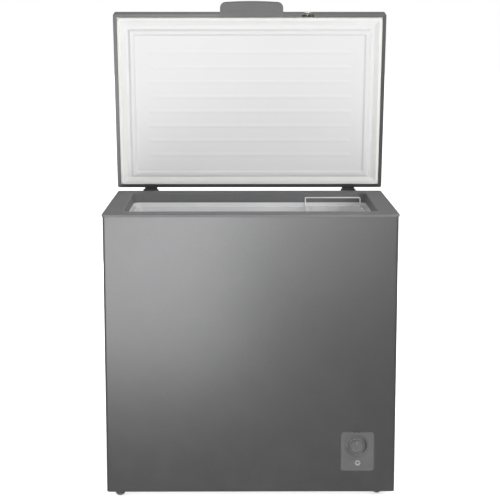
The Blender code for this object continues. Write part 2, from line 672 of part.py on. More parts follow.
def control_panel():
    """The moulded plate low at the right, with the dial recess and the lamp hole."""
    back = FRONT + PANEL_DEEP
    seat = FRONT + SHEET + GAP
    face = FRONT - 0.0010
    mid = (PANEL_X, PANEL_Z)
    half = (PANEL_W / 2, PANEL_H / 2)
    g = PANEL_GROOVE
    rings = [
        face_ring(half[0] + 0.004, half[1] + 0.004, PANEL_R + 0.004, back, mid),
        face_ring(half[0] + 0.004, half[1] + 0.004, PANEL_R + 0.004, seat, mid),
        face_ring(half[0] - g, half[1] - g, PANEL_R - g, seat, mid),
        face_ring(half[0] - g, half[1] - g, PANEL_R - g, face + 0.0006, mid),
        face_ring(half[0] - g - 0.0006, half[1] - g - 0.0006, PANEL_R - g, face, mid),
    ]
    panel = make("control_panel", *skin(rings), "panel_plastic")
    dish = skin(turned_mesh(
        [(DIAL_R - 0.0015, 0), (DIAL_R + 0.0005, -0.010)],
        (DIAL[0], face + DIAL_DEEP, DIAL[1]), (0, 1, 0), 40))
    bore = rod((DIAL[0], FRONT - 0.01, DIAL[1]), (0, 1, 0), 0.0036, 0.04)
    cut(panel, "cut_dial_dish", [dish])
    cut(panel, "cut_dial_bore", [bore])
    lamp = rod((LAMP[0], FRONT - 0.01, LAMP[1]), (0, 1, 0), LAMP_R, 0.04, 24)
    cut(panel, "cut_lamp_hole", [lamp])


def dial_parts():
    """The knob that turns, the thermostat behind it and the ring-shaped lamp."""
    floor = FRONT - 0.0010 + DIAL_DEEP
    centre = (DIAL[0], floor - GAP, DIAL[1])
    out = DIAL_DEEP - GAP + KNOB_OUT
    profile = [(0.0030, -0.0120), (0.0030, 0), (KNOB_R, 0), (KNOB_R - 0.0004, 0.0035),
               (KNOB_R - 0.0015, 0.0042), (0.0182, 0.0046), (0.0176, out - 0.0010),
               (0.0164, out)]
    knob = turned("thermostat_knob", profile, centre, (0, -1, 0), "panel_plastic", 36,
                  origin=centre)
    pointer = box_mesh((DIAL[0] - 0.0012, centre[1] - out - 0.001, DIAL[1] + 0.006),
                       (DIAL[0] + 0.0012, centre[1] - out + 0.0007, DIAL[1] + 0.0150))
    cut(knob, "cut_knob_pointer", [pointer])
    back = FRONT + PANEL_DEEP
    low = (DIAL[0] - 0.019, back + GAP, DIAL[1] - 0.017)
    high = (DIAL[0] + 0.019, back + 0.028, DIAL[1] + 0.017)
    thermostat = box("thermostat", low, high, "zinc")
    socket = rod((DIAL[0], back - 0.01, DIAL[1]), (0, 1, 0), 0.0036, 0.022)
    cut(thermostat, "cut_thermostat_socket", [socket])
    centre = (LAMP[0], FRONT, LAMP[1])
    r = LAMP_R - GAP
    profile = [(0.0030, -0.009), (r, -0.009), (r, 0.0012), (r - 0.0009, 0.0022),
               (0.0042, 0.0018), (0.0030, 0.0008)]
    turned("lamp_ring", profile, centre, (0, -1, 0), "lamp_ring", 28, closed=True)
    profile = [(0.0027, -0.009), (0.0027, 0.0002), (0.0019, 0.0009)]
    turned("lamp_lens", profile, centre, (0, -1, 0), "lamp_green", 18)


def drain():
    """The floor drain: its tube down through the foam and the pull-out plug."""
    x, y = DRAIN[0], FRONT + DRAIN[1]
    low = 0.011
    high = FLOOR_Z - LINER_WALL - GAP
    profile = [(DRAIN_R, low), (0.0090, low), (0.0090, high), (DRAIN_R, high)]
    turned("drain_tube", profile, (x, y, 0), (0, 0, 1), "white_plastic", 20, closed=True)
    seat = FLOOR_Z + GAP
    profile = [(0.0056, -0.018), (0.0062, -0.016), (DRAIN_R - 0.0005, 0), (0.0125, 0),
               (0.0125, 0.0018), (0.0105, 0.0030), (0.0040, 0.0034), (0.0034, 0.0075),
               (0.0055, 0.0090), (0.0055, 0.0105), (0.0030, 0.0115)]
    turned("drain_plug", profile, (x, y, seat), (0, 0, 1), "white_plastic", 20,
           origin=(x, y, seat))


# ------------------------------------------------------------------------ basket
def basket():
    """The hanging wire basket: frame, two hoops, bent-up bars and the end loops."""
    x0 = BASKET_X[0] + WIRE_R
    x1 = BASKET_X[1] - WIRE_R
    y0 = OPEN_Y0 + BASKET_CLEAR + WIRE_R
    y1 = OPEN_Y1 - BASKET_CLEAR - WIRE_R
    top = FRAME_WIRE_Z
    low = top - BASKET_DEEP
    mid = ((x0 + x1) / 2, (y0 + y1) / 2)
    half = ((x1 - x0) / 2, (y1 - y0) / 2)
    sides = 6
    weld = 1.65 * WIRE_R      # centre distance of welded wires
    slope = 0.010             # how far the body draws in below the frame
    start = top + 0.0012

    def hoop(inset, z, radius):
        ring = rounded(half[0] - inset, half[1] - inset, radius, 3, mid)
        return tube_mesh([(x, y, z) for x, y in ring], WIRE_R, sides, closed=True)

    def bars(lengthwise):
        made = []
        count, margin = BASKET_BARS[0 if lengthwise else 1]
        span = half[0] if lengthwise else half[1]
        reach = half[1] if lengthwise else half[0]
        depth = low if lengthwise else low + weld
        for k in range(count):
            at = (k - (count - 1) / 2) * 2 * (span - margin) / (count - 1)
            line = []
            for s, z in ((-1, start), (-1, depth), (1, depth), (1, start)):
                drawn = slope if z < top else weld
                across = s * (reach - drawn)
                point = (at, across) if lengthwise else (across, at)
                line.append((mid[0] + point[0], mid[1] + point[1], z))
            made.append(tube_mesh(eased(line, 0.008, 3), WIRE_R * 0.85, sides))
        return made

    def loop(end):
        y = y0 if end < 0 else y1
        points = [(x0 + 0.0002, y, top), (x0 + 0.0002, y, top + BASKET_LOOP),
                  (x1 - 0.0002, y, top + BASKET_LOOP), (x1 - 0.0002, y, top)]
        return tube_mesh(eased(points, 0.006, 3), WIRE_R, sides)

    origin = (mid[0], mid[1], top)
    body = make("basket", *hoop(0, top, 0.0045), "wire_white", origin=origin, smooth=True)
    join(body, "join_basket_crossbars", bars(False))
    join(body, "join_basket_lengthbars", bars(True))
    join(body, "join_basket_hoops", [hoop((weld + slope) / 2 + weld, (top + low) / 2, 0.009)])
    join(body, "join_basket_loops", [loop(-1), loop(1)])


# --------------------------------------------------------------------------- lid
def lid_ring(inset, z, radius=LID_R):
    """The lid's plan outline, drawn in by inset, at a height above the rim."""
    half_x = LID_W / 2 - inset
    half_y = LID_D / 2 - inset
    return plan_ring(half_x, half_y, radius - min(inset, radius - 0.001), RIM_TOP + z, LID_MID)


def lid_shell(axis):
    """The painted outer skin, with a return flange round its lower edge."""
    low = LID_LIFT
    top = LID_LIFT + LID_T
    rings = [
        lid_ring(0.0075, top), lid_ring(0.0030, top - 0.0009), lid_ring(0.0009, top - 0.0030),
        lid_ring(0, top - 0.0075), lid_ring(0, low + 0.0012), lid_ring(0.0010, low),
        lid_ring(LID_BORDER, low), lid_ring(LID_BORDER, low + SHEET),
        lid_ring(SHEET, low + SHEET + 0.0008), lid_ring(SHEET, top - 0.0075),
        lid_ring(0.0016, top - 0.0037), lid_ring(0.0036, top - 0.0017),
        lid_ring(0.0075, top - SHEET),
    ]
    shell = make("lid_shell", *skin(rings), "graphite_paint", origin=HINGE, parent=axis)
    front = FRONT + LID_FRONT
    slot_y = front + 0.0022
    slot = box_mesh((LOCK_X - LOCK_SLOT[0] / 2, slot_y, RIM_TOP + low - 0.002),
                    (LOCK_X + LOCK_SLOT[0] / 2, slot_y + LOCK_SLOT[1], RIM_TOP + low + 0.0030))
    bore = rod((LOCK_X, front - 0.01, LOCK_Z), (0, 1, 0), LOCK_R + GAP, 0.015, 24)
    cut(shell, "cut_lock_slot", [slot], axis)
    cut(shell, "cut_lock_bore", [bore], axis)


def lid_foam(axis):
    low = 0.0102 + GAP
    top = LID_LIFT + LID_T
    rings = [
        lid_ring(SHEET + GAP, low), lid_ring(SHEET + GAP, top - 0.0078),
        lid_ring(0.0020, top - 0.0042), lid_ring(0.0045, top - 0.0022),
        lid_ring(0.0080, top - SHEET - GAP),
    ]
    foam = make("lid_foam", *skin(rings), "foam", origin=HINGE, parent=axis)
    front = FRONT + LID_FRONT
    pocket = box_mesh((LOCK_X - 0.026, front - 0.01, RIM_TOP),
                      (LOCK_X + 0.026, front + 0.021, LOCK_Z + 0.010))
    cut(foam, "cut_foam_lock", [pocket], axis)


def tray_ring(inset, z):
    """The tray's outline: the lid's own at its edge, the shifted field further in."""
    if inset < 0.02:
        return lid_ring(inset, z)
    return plan_ring(LID_W / 2 - inset, LID_D / 2 - inset + RIDGE_GROW, RIDGE_R, RIM_TOP + z,
                     LID_MID + RIDGE_SHIFT)


def lid_liner(axis):
    """The white inner tray: gasket land, raised ridge and ribbed panel."""
    edge = LID_BORDER + GAP
    skin_t = 0.0015
    profile = [(edge, 0.0085), (0.0440, 0.0085), (0.0465, 0.0060), (0.0480, 0.0028),
               (0.0510, 0.0020), (0.0570, 0.0020), (0.0595, 0.0030), (0.0620, 0.0058)]
    rings = [tray_ring(inset, z) for inset, z in reversed(profile)]
    rings += [tray_ring(inset + (0.0008 if inset > 0.045 else 0), z + skin_t)
              for inset, z in profile]
    liner = make("lid_liner", *skin(rings), "white_plastic", origin=HINGE, parent=axis)
    ribs = []
    half = LID_W / 2 - RIB_END
    for k in range(RIBS):
        y = LID_MID + RIDGE_SHIFT + (k - (RIBS - 1) / 2) * RIB_PITCH
        z = RIM_TOP + 0.0058
        rings = []
        for x in (-half, half):
            rings.append([(x, y - 0.006, z + 0.0006), (x, y - 0.003, z - 0.0005),
                          (x, y + 0.003, z - 0.0005), (x, y + 0.006, z + 0.0006)])
        ribs.append(skin(rings))
    join(liner, "join_lid_ribs", ribs, axis)


def lid_gasket(axis):
    """The soft magnetic seal, a bellows strip with a flap that slopes to the tray."""
    out = LID_BORDER + 0.0008
    rings = [
        lid_ring(out + 0.0015, 0.0082, 0.022), lid_ring(out, 0.0070, 0.022),
        lid_ring(out + 0.0018, 0.0046, 0.022), lid_ring(out, 0.0022, 0.022),
        lid_ring(out + 0.0016, GAP, 0.022), lid_ring(out + 0.0090, GAP, 0.022),
        lid_ring(out + 0.0106, 0.0012, 0.022), lid_ring(out + 0.0200, 0.0068, 0.022),
        lid_ring(out + 0.0215, 0.0076, 0.022), lid_ring(out + 0.0215, 0.0082, 0.022),
    ]
    make("lid_gasket", *skin(rings, closed=True), "gasket_white", origin=HINGE, parent=axis)


def lid_handle(axis):
    """The moulded pull on the lid's front edge, tucked under its flange."""
    face = FRONT + LID_FRONT
    z = RIM_TOP + LID_LIFT
    half = HANDLE_W / 2
    stations = [0, 0.25, 0.5, 0.72, half - HANDLE_R]
    stations = [half * s for s in stations[:4]] + [half - HANDLE_R]
    for k in range(1, 6):
        stations.append(half - HANDLE_R + HANDLE_R * math.sin(math.pi / 2 * k / 5))
    stations = [-x for x in reversed(stations[1:])] + stations
    rings = []
    for x in stations:
        over = max(0.0, abs(x) - (half - HANDLE_R))
        corner = HANDLE_R - math.sqrt(max(0.0, HANDLE_R ** 2 - over ** 2))
        reach = HANDLE_OUT - HANDLE_BOW * (x / half) ** 2 - corner
        profile = [
            (0.0100, -0.0020), (-0.0070 / HANDLE_OUT * reach, -0.0020),
            (-0.0078 / HANDLE_OUT * reach, -0.0016), (-reach * 0.90, -0.0010),
            (-reach * 0.98, 0.0010), (-reach, 0.0042), (-reach * 0.97, 0.0078),
            (-reach * 0.88, 0.0100), (-reach * 0.35, 0.0160), (-0.0010, 0.0215),
            (-GAP, 0.0215), (-GAP, -GAP), (0.0100, -GAP),
        ]
        rings.append([(HANDLE_X + x, face + y, z + dz) for y, dz in profile])
    make("lid_handle", *skin(rings), "grey_frame", origin=HINGE, parent=axis)


def lock(axis):
    """The key lock in the lid's front: its collar, and the barrel with its cam."""
    face = FRONT + LID_FRONT
    centre = (LOCK_X, face, LOCK_Z)
    profile = [(LOCK_R + GAP, GAP), (0.0115, GAP), (0.0108, 0.0018), (LOCK_R + 0.0012, 0.0024),
               (LOCK_R + GAP, 0.0018)]
    turned("lock_collar", profile, centre, (0, -1, 0), "chrome", 28, origin=HINGE,
           parent=axis, closed=True)
    profile = [(0.0042, -0.0180), (0.0042, -0.0130), (LOCK_R, -0.0130), (LOCK_R, 0.0014),
               (LOCK_R - 0.0006, 0.0020)]
    pivot = bpy.data.objects.new("lock_axis", None)
    bpy.context.scene.collection.objects.link(pivot)
    pivot.parent = axis
    pivot.location = Vector(centre) - HINGE
    barrel = turned("lock_barrel", profile, centre, (0, -1, 0), "chrome", 24, origin=centre,
                    parent=pivot)
    key = box_mesh((-0.0007, -0.003, -0.0035), (0.0007, -0.0012, 0.0035))
    cam = box_mesh((-CAM_REACH, 0.0137, -0.0045), (0.0045, 0.0157, 0.0045))
    for name, mesh, operation in (("cut_keyway", key, "DIFFERENCE"), ("join_cam", cam, "UNION")):
        made = make(name, *mesh, None, parent=pivot)
        made.hide_render = True
        made.display_type = "WIRE"
        boolean(barrel, operation, made)


def hinges(axis):
    """Left and right: bracket on the cabinet, pin, and the leaf that carries the lid."""
    y, z = HINGE.y, HINGE.z
    for side, x in (("left", -HINGE_X), ("right", HINGE_X)):
        arc = []
        for k in range(9):
            a = math.radians(-30 + 210 * k / 8)
            arc.append((y + EAR_R * math.cos(a), z + EAR_R * math.sin(a)))
        back = BACK + GAP
        under = RIM_TOP - RIM_SKIRT - 0.0010
        outline = [(back, under - 0.072), (back + 0.002, under - 0.072),
                   (back + 0.0045, under - 0.060)] + arc
        outline += [(y - EAR_R, under - 0.001), (back + 0.002, under - 0.001),
                    (back, under - 0.001)]
        half = HINGE_W / 2
        bracket = prism(f"hinge_bracket_{side}", outline, x - half, x + half, "black_enamel")
        inner = half - 0.0030
        channel = box_mesh((x - inner, back + 0.002, z - 0.2), (x + inner, y + 0.05, z + 0.15))
        spots = [(x + s * 0.012, under - 0.050) for s in (-1, 1)]
        holes = [rod((sx, back - 0.01, sz), (0, 1, 0), 0.0022, 0.02, 12) for sx, sz in spots]
        bore = rod((x - 0.03, y, z), (1, 0, 0), PIN_R + GAP, 0.06)
        cut(bracket, f"cut_bracket_{side}", [channel])
        cut(bracket, f"cut_bracket_bores_{side}", holes + [bore])
        for k, (sx, sz) in enumerate(spots, 1):
            screw(f"hinge_screw_{side}_{k}", (sx, back + 0.002, sz), 0.0018)
        profile = [(PIN_R + 0.0014, -half - 0.0018), (PIN_R + 0.0018, -half - 0.0012),
                   (PIN_R + 0.0018, -half - GAP), (PIN_R, -half - GAP), (PIN_R, half + 0.0016),
                   (PIN_R - 0.0008, half + 0.0024)]
        turned(f"hinge_pin_{side}", profile, (x, y, z), (1, 0, 0), "zinc", 16)
        wall = LID_BACK + FRONT + GAP
        knuckle = inner - 0.0005
        arc = []
        for k in range(11):
            a = math.radians(150 + 270 * k / 10)
            arc.append((y + KNUCKLE_R * math.cos(a), z + KNUCKLE_R * math.sin(a)))
        top = RIM_TOP + LID_LIFT + LID_T - 0.010
        outline = [(wall, top)] + [(wall, z + 0.0035)] + arc
        outline += [(wall + 0.0030, z + 0.0110), (wall + 0.0030, top)]
        leaf = prism(f"hinge_leaf_{side}", outline, x - knuckle, x + knuckle, "black_enamel",
                     origin=HINGE, parent=axis)
        bore = rod((x - 0.03, y, z), (1, 0, 0), PIN_R + GAP, 0.06)
        cut(leaf, f"cut_leaf_bore_{side}", [bore], axis)


def build():
    for obj in list(bpy.data.objects):
        bpy.data.objects.remove(obj, do_unlink=True)
    outer_shell()
    rear_panel()
    bottom_panels()
    bay_partition()
    top_frame()
    inner_liner()
    cabinet_foam()
    coils()
    feet()
    machinery()
    rear_grille()
    control_panel()
    dial_parts()
    drain()
    basket()
    axis = bpy.data.objects.new("lid_axis", None)
    bpy.context.scene.collection.objects.link(axis)
    axis.location = HINGE
    axis.rotation_euler = (-math.radians(LID_OPEN), 0, 0)
    lid_shell(axis)
    lid_foam(axis)
    lid_liner(axis)
    lid_gasket(axis)
    lid_handle(axis)
    lock(axis)
    hinges(axis)


build()
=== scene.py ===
"""Chest freezer with its lid open: the visible model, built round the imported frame."""

import json
import math

import bmesh
import bpy
from mathutils import Matrix, Vector


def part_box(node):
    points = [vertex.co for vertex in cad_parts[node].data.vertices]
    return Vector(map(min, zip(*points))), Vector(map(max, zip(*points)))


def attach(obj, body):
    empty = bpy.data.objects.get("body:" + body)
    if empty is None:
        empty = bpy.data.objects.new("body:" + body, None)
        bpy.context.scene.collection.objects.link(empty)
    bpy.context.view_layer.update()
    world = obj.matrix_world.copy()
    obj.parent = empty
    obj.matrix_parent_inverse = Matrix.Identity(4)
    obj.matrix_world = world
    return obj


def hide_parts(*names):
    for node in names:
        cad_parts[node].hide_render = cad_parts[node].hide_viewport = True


bl_info = {
    "name": "Chest freezer",
    "version": (1, 0, 0),
    "blender": (4, 5, 0),
    "location": "View3D > Sidebar > Freezer",
    "description": "Builds the visible parts of a chest freezer on its mechanical frame",
    "category": "Object",
}

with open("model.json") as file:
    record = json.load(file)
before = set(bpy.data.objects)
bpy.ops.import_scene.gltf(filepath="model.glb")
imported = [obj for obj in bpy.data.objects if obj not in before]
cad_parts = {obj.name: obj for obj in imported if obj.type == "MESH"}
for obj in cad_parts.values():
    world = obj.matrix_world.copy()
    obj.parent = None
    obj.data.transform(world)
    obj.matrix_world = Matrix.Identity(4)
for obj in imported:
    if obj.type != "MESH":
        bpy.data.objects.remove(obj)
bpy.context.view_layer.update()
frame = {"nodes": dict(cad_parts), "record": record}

# ------------------------------------------------------------ places on the frame
JOINTS = {joint["name"]: joint for joint in frame["record"]["behaviour"]["joints"]}
HINGE = Vector(JOINTS["lid_hinge"]["pos_m"])
LID_OPEN = math.radians(-JOINTS["lid_hinge"]["range_deg"][0])
TURN_LID = (Matrix.Translation(HINGE) @ Matrix.Rotation(-LID_OPEN, 4, "X")
            @ Matrix.Translation(-HINGE))
CLOSE_LID = TURN_LID.inverted()


def span(node):
    """Lowest and highest corner of a node, as vectors."""
    low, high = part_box(node)
    return Vector(low), Vector(high)


def closed_span(node):
    """The box of a lid node once the lid is turned shut."""
    mesh = frame["nodes"][node].data
    points = [CLOSE_LID @ vertex.co for vertex in mesh.vertices]
    low = Vector([min(p[i] for p in points) for i in range(3)])
    high = Vector([max(p[i] for p in points) for i in range(3)])
    return low, high


def middle(low, high):
    """The point halfway between two corners."""
    return (low + high) / 2


def seen_from_front(low, high):
    """Middle and half size of a box, across and up."""
    return (((low.x + high.x) / 2, (low.z + high.z) / 2),
            ((high.x - low.x) / 2, (high.z - low.z) / 2))


CAB_LOW, CAB_HIGH = span("outer_shell")
RIM_LOW, RIM_HIGH = span("top_frame")
BIN_LOW, BIN_HIGH = span("inner_liner")
LID_LOW, LID_HIGH = closed_span("lid_shell")
TRAY_LOW, TRAY_HIGH = closed_span("lid_liner")
FRONT, BACK = CAB_LOW.y, CAB_HIGH.y
RIM_TOP = RIM_HIGH.z
LEDGE_DROP = 0.0425                # basket ledge below the rim's top
FLANGE_X, FLANGE_Y = 0.0510, 0.0500   # width of the rim at the sides and at front and back
LEDGE_Z = RIM_TOP - LEDGE_DROP
SHEET = 0.0008                     # painted sheet metal
GAP = 0.0003                       # clearance between neighbouring parts
PLATE_EDGE = 0.004                 # how far the control panel laps over its hole
INK = 0.00012                      # height of printed marks
COPY_SEED = 7
BEAD_PLACES = (-0.30, -0.17, -0.04, 0.09)   # stiffening beads across the back sheet
RIDGE_SHIFT, RIDGE_GROW, RIDGE_R = 0.0060, 0.0035, 0.0040   # the tray's raised field

PANEL_BOX = span("control_panel")
PANEL_HOLE = ((PANEL_BOX[0].x + PLATE_EDGE, PANEL_BOX[0].z + PLATE_EDGE),
              (PANEL_BOX[1].x - PLATE_EDGE, PANEL_BOX[1].z - PLATE_EDGE))
DIAL = middle(*span("thermostat_knob"))
LOCK = middle(*closed_span("lock_collar"))
OPENING = (CAB_HIGH.x - FLANGE_X, (BACK - FRONT) / 2 - FLANGE_Y, (FRONT + BACK) / 2)


# ------------------------------------------------------------------ mesh building
def rounded(half_x, half_y, radius, steps=10, centre=(0, 0)):
    """A rounded rectangle of points, counter-clockwise."""
    r = max(radius, 0.0003)
    points = []
    for corner, (sx, sy) in enumerate(((1, 1), (-1, 1), (-1, -1), (1, -1))):
        cx = centre[0] + sx * (half_x - r)
        cy = centre[1] + sy * (half_y - r)
        for k in range(steps + 1):
            a = math.pi / 2 * (corner + k / steps)
            points.append((cx + r * math.cos(a), cy + r * math.sin(a)))
    return points


def plan_ring(half_x, half_y, radius, z, mid_y, steps=10, mid_x=0):
    """A rounded rectangle seen from above, at one height."""
    return [(x, y, z) for x, y in rounded(half_x, half_y, radius, steps, (mid_x, mid_y))]


def face_ring(half_x, half_z, radius, y, mid, steps=10):
    """A rounded rectangle seen from the front, at one depth."""
    return [(x, y, z) for x, z in rounded(half_x, half_z, radius, steps, mid)]


def quarter(steps):
    """The angles of a quarter turn, both ends included."""
    return [math.pi / 2 * k / steps for k in range(steps + 1)]


def eased(points, radius, steps=6):
    """A path or outline corner-rounded; works on tuples of two or three numbers."""
    flat = len(points[0]) == 2
    points = [Vector((*p, 0)) if flat else Vector(p) for p in points]
    path = [points[0]]
    for i in range(1, len(points) - 1):
        here = points[i]
        before = (points[i - 1] - here)
        after = (points[i + 1] - here)
        r = min(radius, before.length * 0.45, after.length * 0.45)
        before.normalize()
        after.normalize()
        half = max(before.angle(after) / 2, 0.05)
        if half > 1.5:
            lean = min(r, 0.0004) / steps
            path += [here + (before if k < steps / 2 else after) * lean * abs(k - steps / 2)
                     for k in range(steps + 1)]
            continue
        cut = min(r / math.tan(half), r * 1.6)
        real = cut * math.tan(half)
        centre = here + (before + after).normalized() * real / math.sin(half)
        start = (here + before * cut - centre).normalized()
        end = (here + after * cut - centre).normalized()
        for k in range(steps + 1):
            path.append(centre + start.slerp(end, k / steps) * real)
    path.append(points[-1])
    return [(p.x, p.y) if flat else tuple(p) for p in path]


def skin(rings, closed=False):
    """A surface through rings of equal length; its ends are capped unless it closes on itself."""
    n = len(rings[0])
    verts = [p for ring in rings for p in ring]
    count = len(rings)
    faces = []
    for i in range(count if closed else count - 1):
        a = i * n
        b = ((i + 1) % count) * n
        for k in range(n):
            m = (k + 1) % n
            faces.append((a + k, a + m, b + m, b + k))
    if not closed:
        faces.append(tuple(range(n))[::-1])
        faces.append(tuple(range((count - 1) * n, count * n)))
    return verts, faces


def box_mesh(low, high):
    (x0, y0, z0), (x1, y1, z1) = low, high
    return skin([[(x0, y0, z), (x1, y0, z), (x1, y1, z), (x0, y1, z)] for z in (z0, z1)])


def merge(parts):
    """Several (verts, faces) as one."""
    verts = []
    faces = []
    for v, f in parts:
        base = len(verts)
        verts += [tuple(p) for p in v]
        faces += [tuple(i + base for i in face) for face in f]
    return verts, faces


def turned(profile, centre, axis, sides=64, oval=1.0, closed=False, flutes=None):
    """A profile of (radius, height) spun about an axis, as (verts, faces)."""
    axis = Vector(axis).normalized()
    u = Vector((1, 0, 0)) if abs(axis.x) < 0.9 else Vector((0, 1, 0))
    v = axis.cross(u)
    rings = []
    for step, (r, h) in enumerate(profile):
        ring = []
        for k in range(sides):
            a = 2 * math.pi * k / sides
            real = r
            if flutes and flutes[1] <= step <= flutes[2]:
                real = r * (1 - flutes[3] * (0.5 + 0.5 * math.cos(flutes[0] * a)))
            offset = u * (real * math.cos(a)) + v * (real * oval * math.sin(a))
            ring.append(tuple(Vector(centre) + offset + axis * h))
        rings.append(ring)
    return skin(rings, closed)


def rod(centre, axis, radius, length, sides=48):
    return turned([(radius, 0), (radius, length)], centre, axis, sides)


def put(name, data):
    """A new object in the scene."""
    obj = bpy.data.objects.new(name, data)
    bpy.context.scene.collection.objects.link(obj)
    return obj


def clean(mesh, weld=0.0, flatten=0.0):
    """Welds doubles and joins flat faces when asked, and turns every face outward."""
    bm = bmesh.new()
    bm.from_mesh(mesh)
    if weld:
        bmesh.ops.remove_doubles(bm, verts=bm.verts, dist=weld)
    if flatten:
        bmesh.ops.dissolve_limit(bm, angle_limit=flatten, verts=bm.verts, edges=bm.edges)
    bmesh.ops.recalc_face_normals(bm, faces=bm.faces)
    bm.to_mesh(mesh)
    bm.free()


def new_object(name, verts, faces, turn=None):
    """A mesh object with its faces outward, turned if a matrix is given."""
    mesh = bpy.data.meshes.new(name)
    mesh.from_pydata([tuple(turn @ Vector(v)) if turn else v for v in verts], [], faces)
    clean(mesh)
    return put(name, mesh)


def settle(obj):
    """Turns an object's modifiers into plain mesh."""
    depsgraph = bpy.context.evaluated_depsgraph_get()
    mesh = bpy.data.meshes.new_from_object(obj.evaluated_get(depsgraph), depsgraph=depsgraph)
    old = obj.data
    obj.modifiers.clear()
    if obj.type == "MESH":
        obj.data = mesh
        if not old.users:
            bpy.data.meshes.remove(old)
    return obj


def carve(obj, parts, operation="DIFFERENCE", turn=None):
    """Cuts or joins bodies, then forgets the tools."""
    tool = new_object(obj.name + "_tool", *merge(parts), turn)
    step = obj.modifiers.new("carve", "BOOLEAN")
    step.operation = operation
    step.solver = "EXACT"
    step.object = tool
    settle(obj)
    bpy.data.objects.remove(tool, do_unlink=True)
    return obj


def finish_piece(obj, material, body, nodes=(), bevel=0.0, sharp=32.0):
    """Softens edges, sets shading and material, and ties the piece to its body."""
    obj.data.materials.clear()
    obj.data.materials.append(material)
    if bevel:
        step = obj.modifiers.new("bevel", "BEVEL")
        step.width = bevel
        step.segments = 3
        step.limit_method = "ANGLE"
        step.angle_limit = math.radians(sharp)
        step.harden_normals = False
        settle(obj)
    obj.data.polygons.foreach_set("use_smooth", [True] * len(obj.data.polygons))
    obj.data.set_sharp_from_angle(angle=math.radians(sharp + 14 if bevel else sharp))
    step = obj.modifiers.new("normals", "WEIGHTED_NORMAL")
    step.keep_sharp = True
    settle(obj)
    for polygon in obj.data.polygons:
        polygon.material_index = 0
    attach(obj, body)
    if nodes:
        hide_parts(*nodes)
    return obj


def softened(node, material, body, width=0.0004):
    """A copy of a CAD node with its doubles merged and its edges eased."""
    copy = frame["nodes"][node].data.copy()
    obj = put(node + "_eased", copy)
    clean(copy, 0.000002, math.radians(0.6))
    return finish_piece(obj, material, body, (node,), bevel=width)


# ---------------------------------------------------------------- shader building
def tree_input(tree, name, default, low=0.0, high=10000.0):
    socket = tree.interface.new_socket(name, in_out="INPUT", socket_type="NodeSocketFloat")
    socket.default_value = default
    socket.min_value = low
    socket.max_value = high


def tree_output(tree, name):
    tree.interface.new_socket(name, in_out="OUTPUT", socket_type="NodeSocketFloat")


def shader_group(name, inputs, outputs):
    tree = bpy.data.node_groups.new(name, "ShaderNodeTree")
    for title, default in inputs:
        tree_input(tree, title, default)
    for title in outputs:
        tree_output(tree, title)
    return tree, tree.nodes.new("NodeGroupInput"), tree.nodes.new("NodeGroupOutput")


def noise(tree, coords, scale, detail=3.0, rough=0.5):
    node = tree.nodes.new("ShaderNodeTexNoise")
    node.inputs["Detail"].default_value = detail
    node.inputs["Roughness"].default_value = rough
    tree.links.new(coords, node.inputs["Vector"])
    if isinstance(scale, (int, float)):
        node.inputs["Scale"].default_value = scale
    else:
        tree.links.new(scale, node.inputs["Scale"])
    return node.outputs["Fac"]


def maths(tree, operation, a, b=None, c=None):
    node = tree.nodes.new("ShaderNodeMath")
    node.operation = operation
    for slot, value in zip(node.inputs, (a, b, c)):
        if value is None:
            continue
        if isinstance(value, (int, float)):
            slot.default_value = value
        else:
            tree.links.new(value, slot)
    return node.outputs[0]


def remap(tree, value, low, high, out_low=0.0, out_high=1.0):
    node = tree.nodes.new("ShaderNodeMapRange")
    tree.links.new(value, node.inputs["Value"])
    node.inputs["From Min"].default_value = low
    node.inputs["From Max"].default_value = high
    node.inputs["To Min"].default_value = out_low
    node.inputs["To Max"].default_value = out_high
    return node.outputs["Result"]


def grain_group():
    """Fine surface grain: a height for bumps and a soft tone mask."""
    tree, into, out = shader_group("Fine grain", (("Grain size", 0.0008), ("Blotch size", 0.06)),
                                   ("Height", "Tone"))
    coords = tree.nodes.new("ShaderNodeTexCoord").outputs["Object"]
    fine = maths(tree, "DIVIDE", 1.0, into.outputs["Grain size"])
    broad = maths(tree, "DIVIDE", 1.0, into.outputs["Blotch size"])
    small = noise(tree, coords, fine, 2.0, 0.55)
    cells = tree.nodes.new("ShaderNodeTexVoronoi")
    tree.links.new(coords, cells.inputs["Vector"])
    tree.links.new(fine, cells.inputs["Scale"])
    pits = remap(tree, cells.outputs["Distance"], 0.0, 0.7)
    height = maths(tree, "ADD", maths(tree, "MULTIPLY", small, 0.6),
                   maths(tree, "MULTIPLY", pits, 0.4))
    tree.links.new(height, out.inputs["Height"])
    tree.links.new(remap(tree, noise(tree, coords, broad, 4.0, 0.6), 0.25, 0.75),
                   out.inputs["Tone"])
    return tree


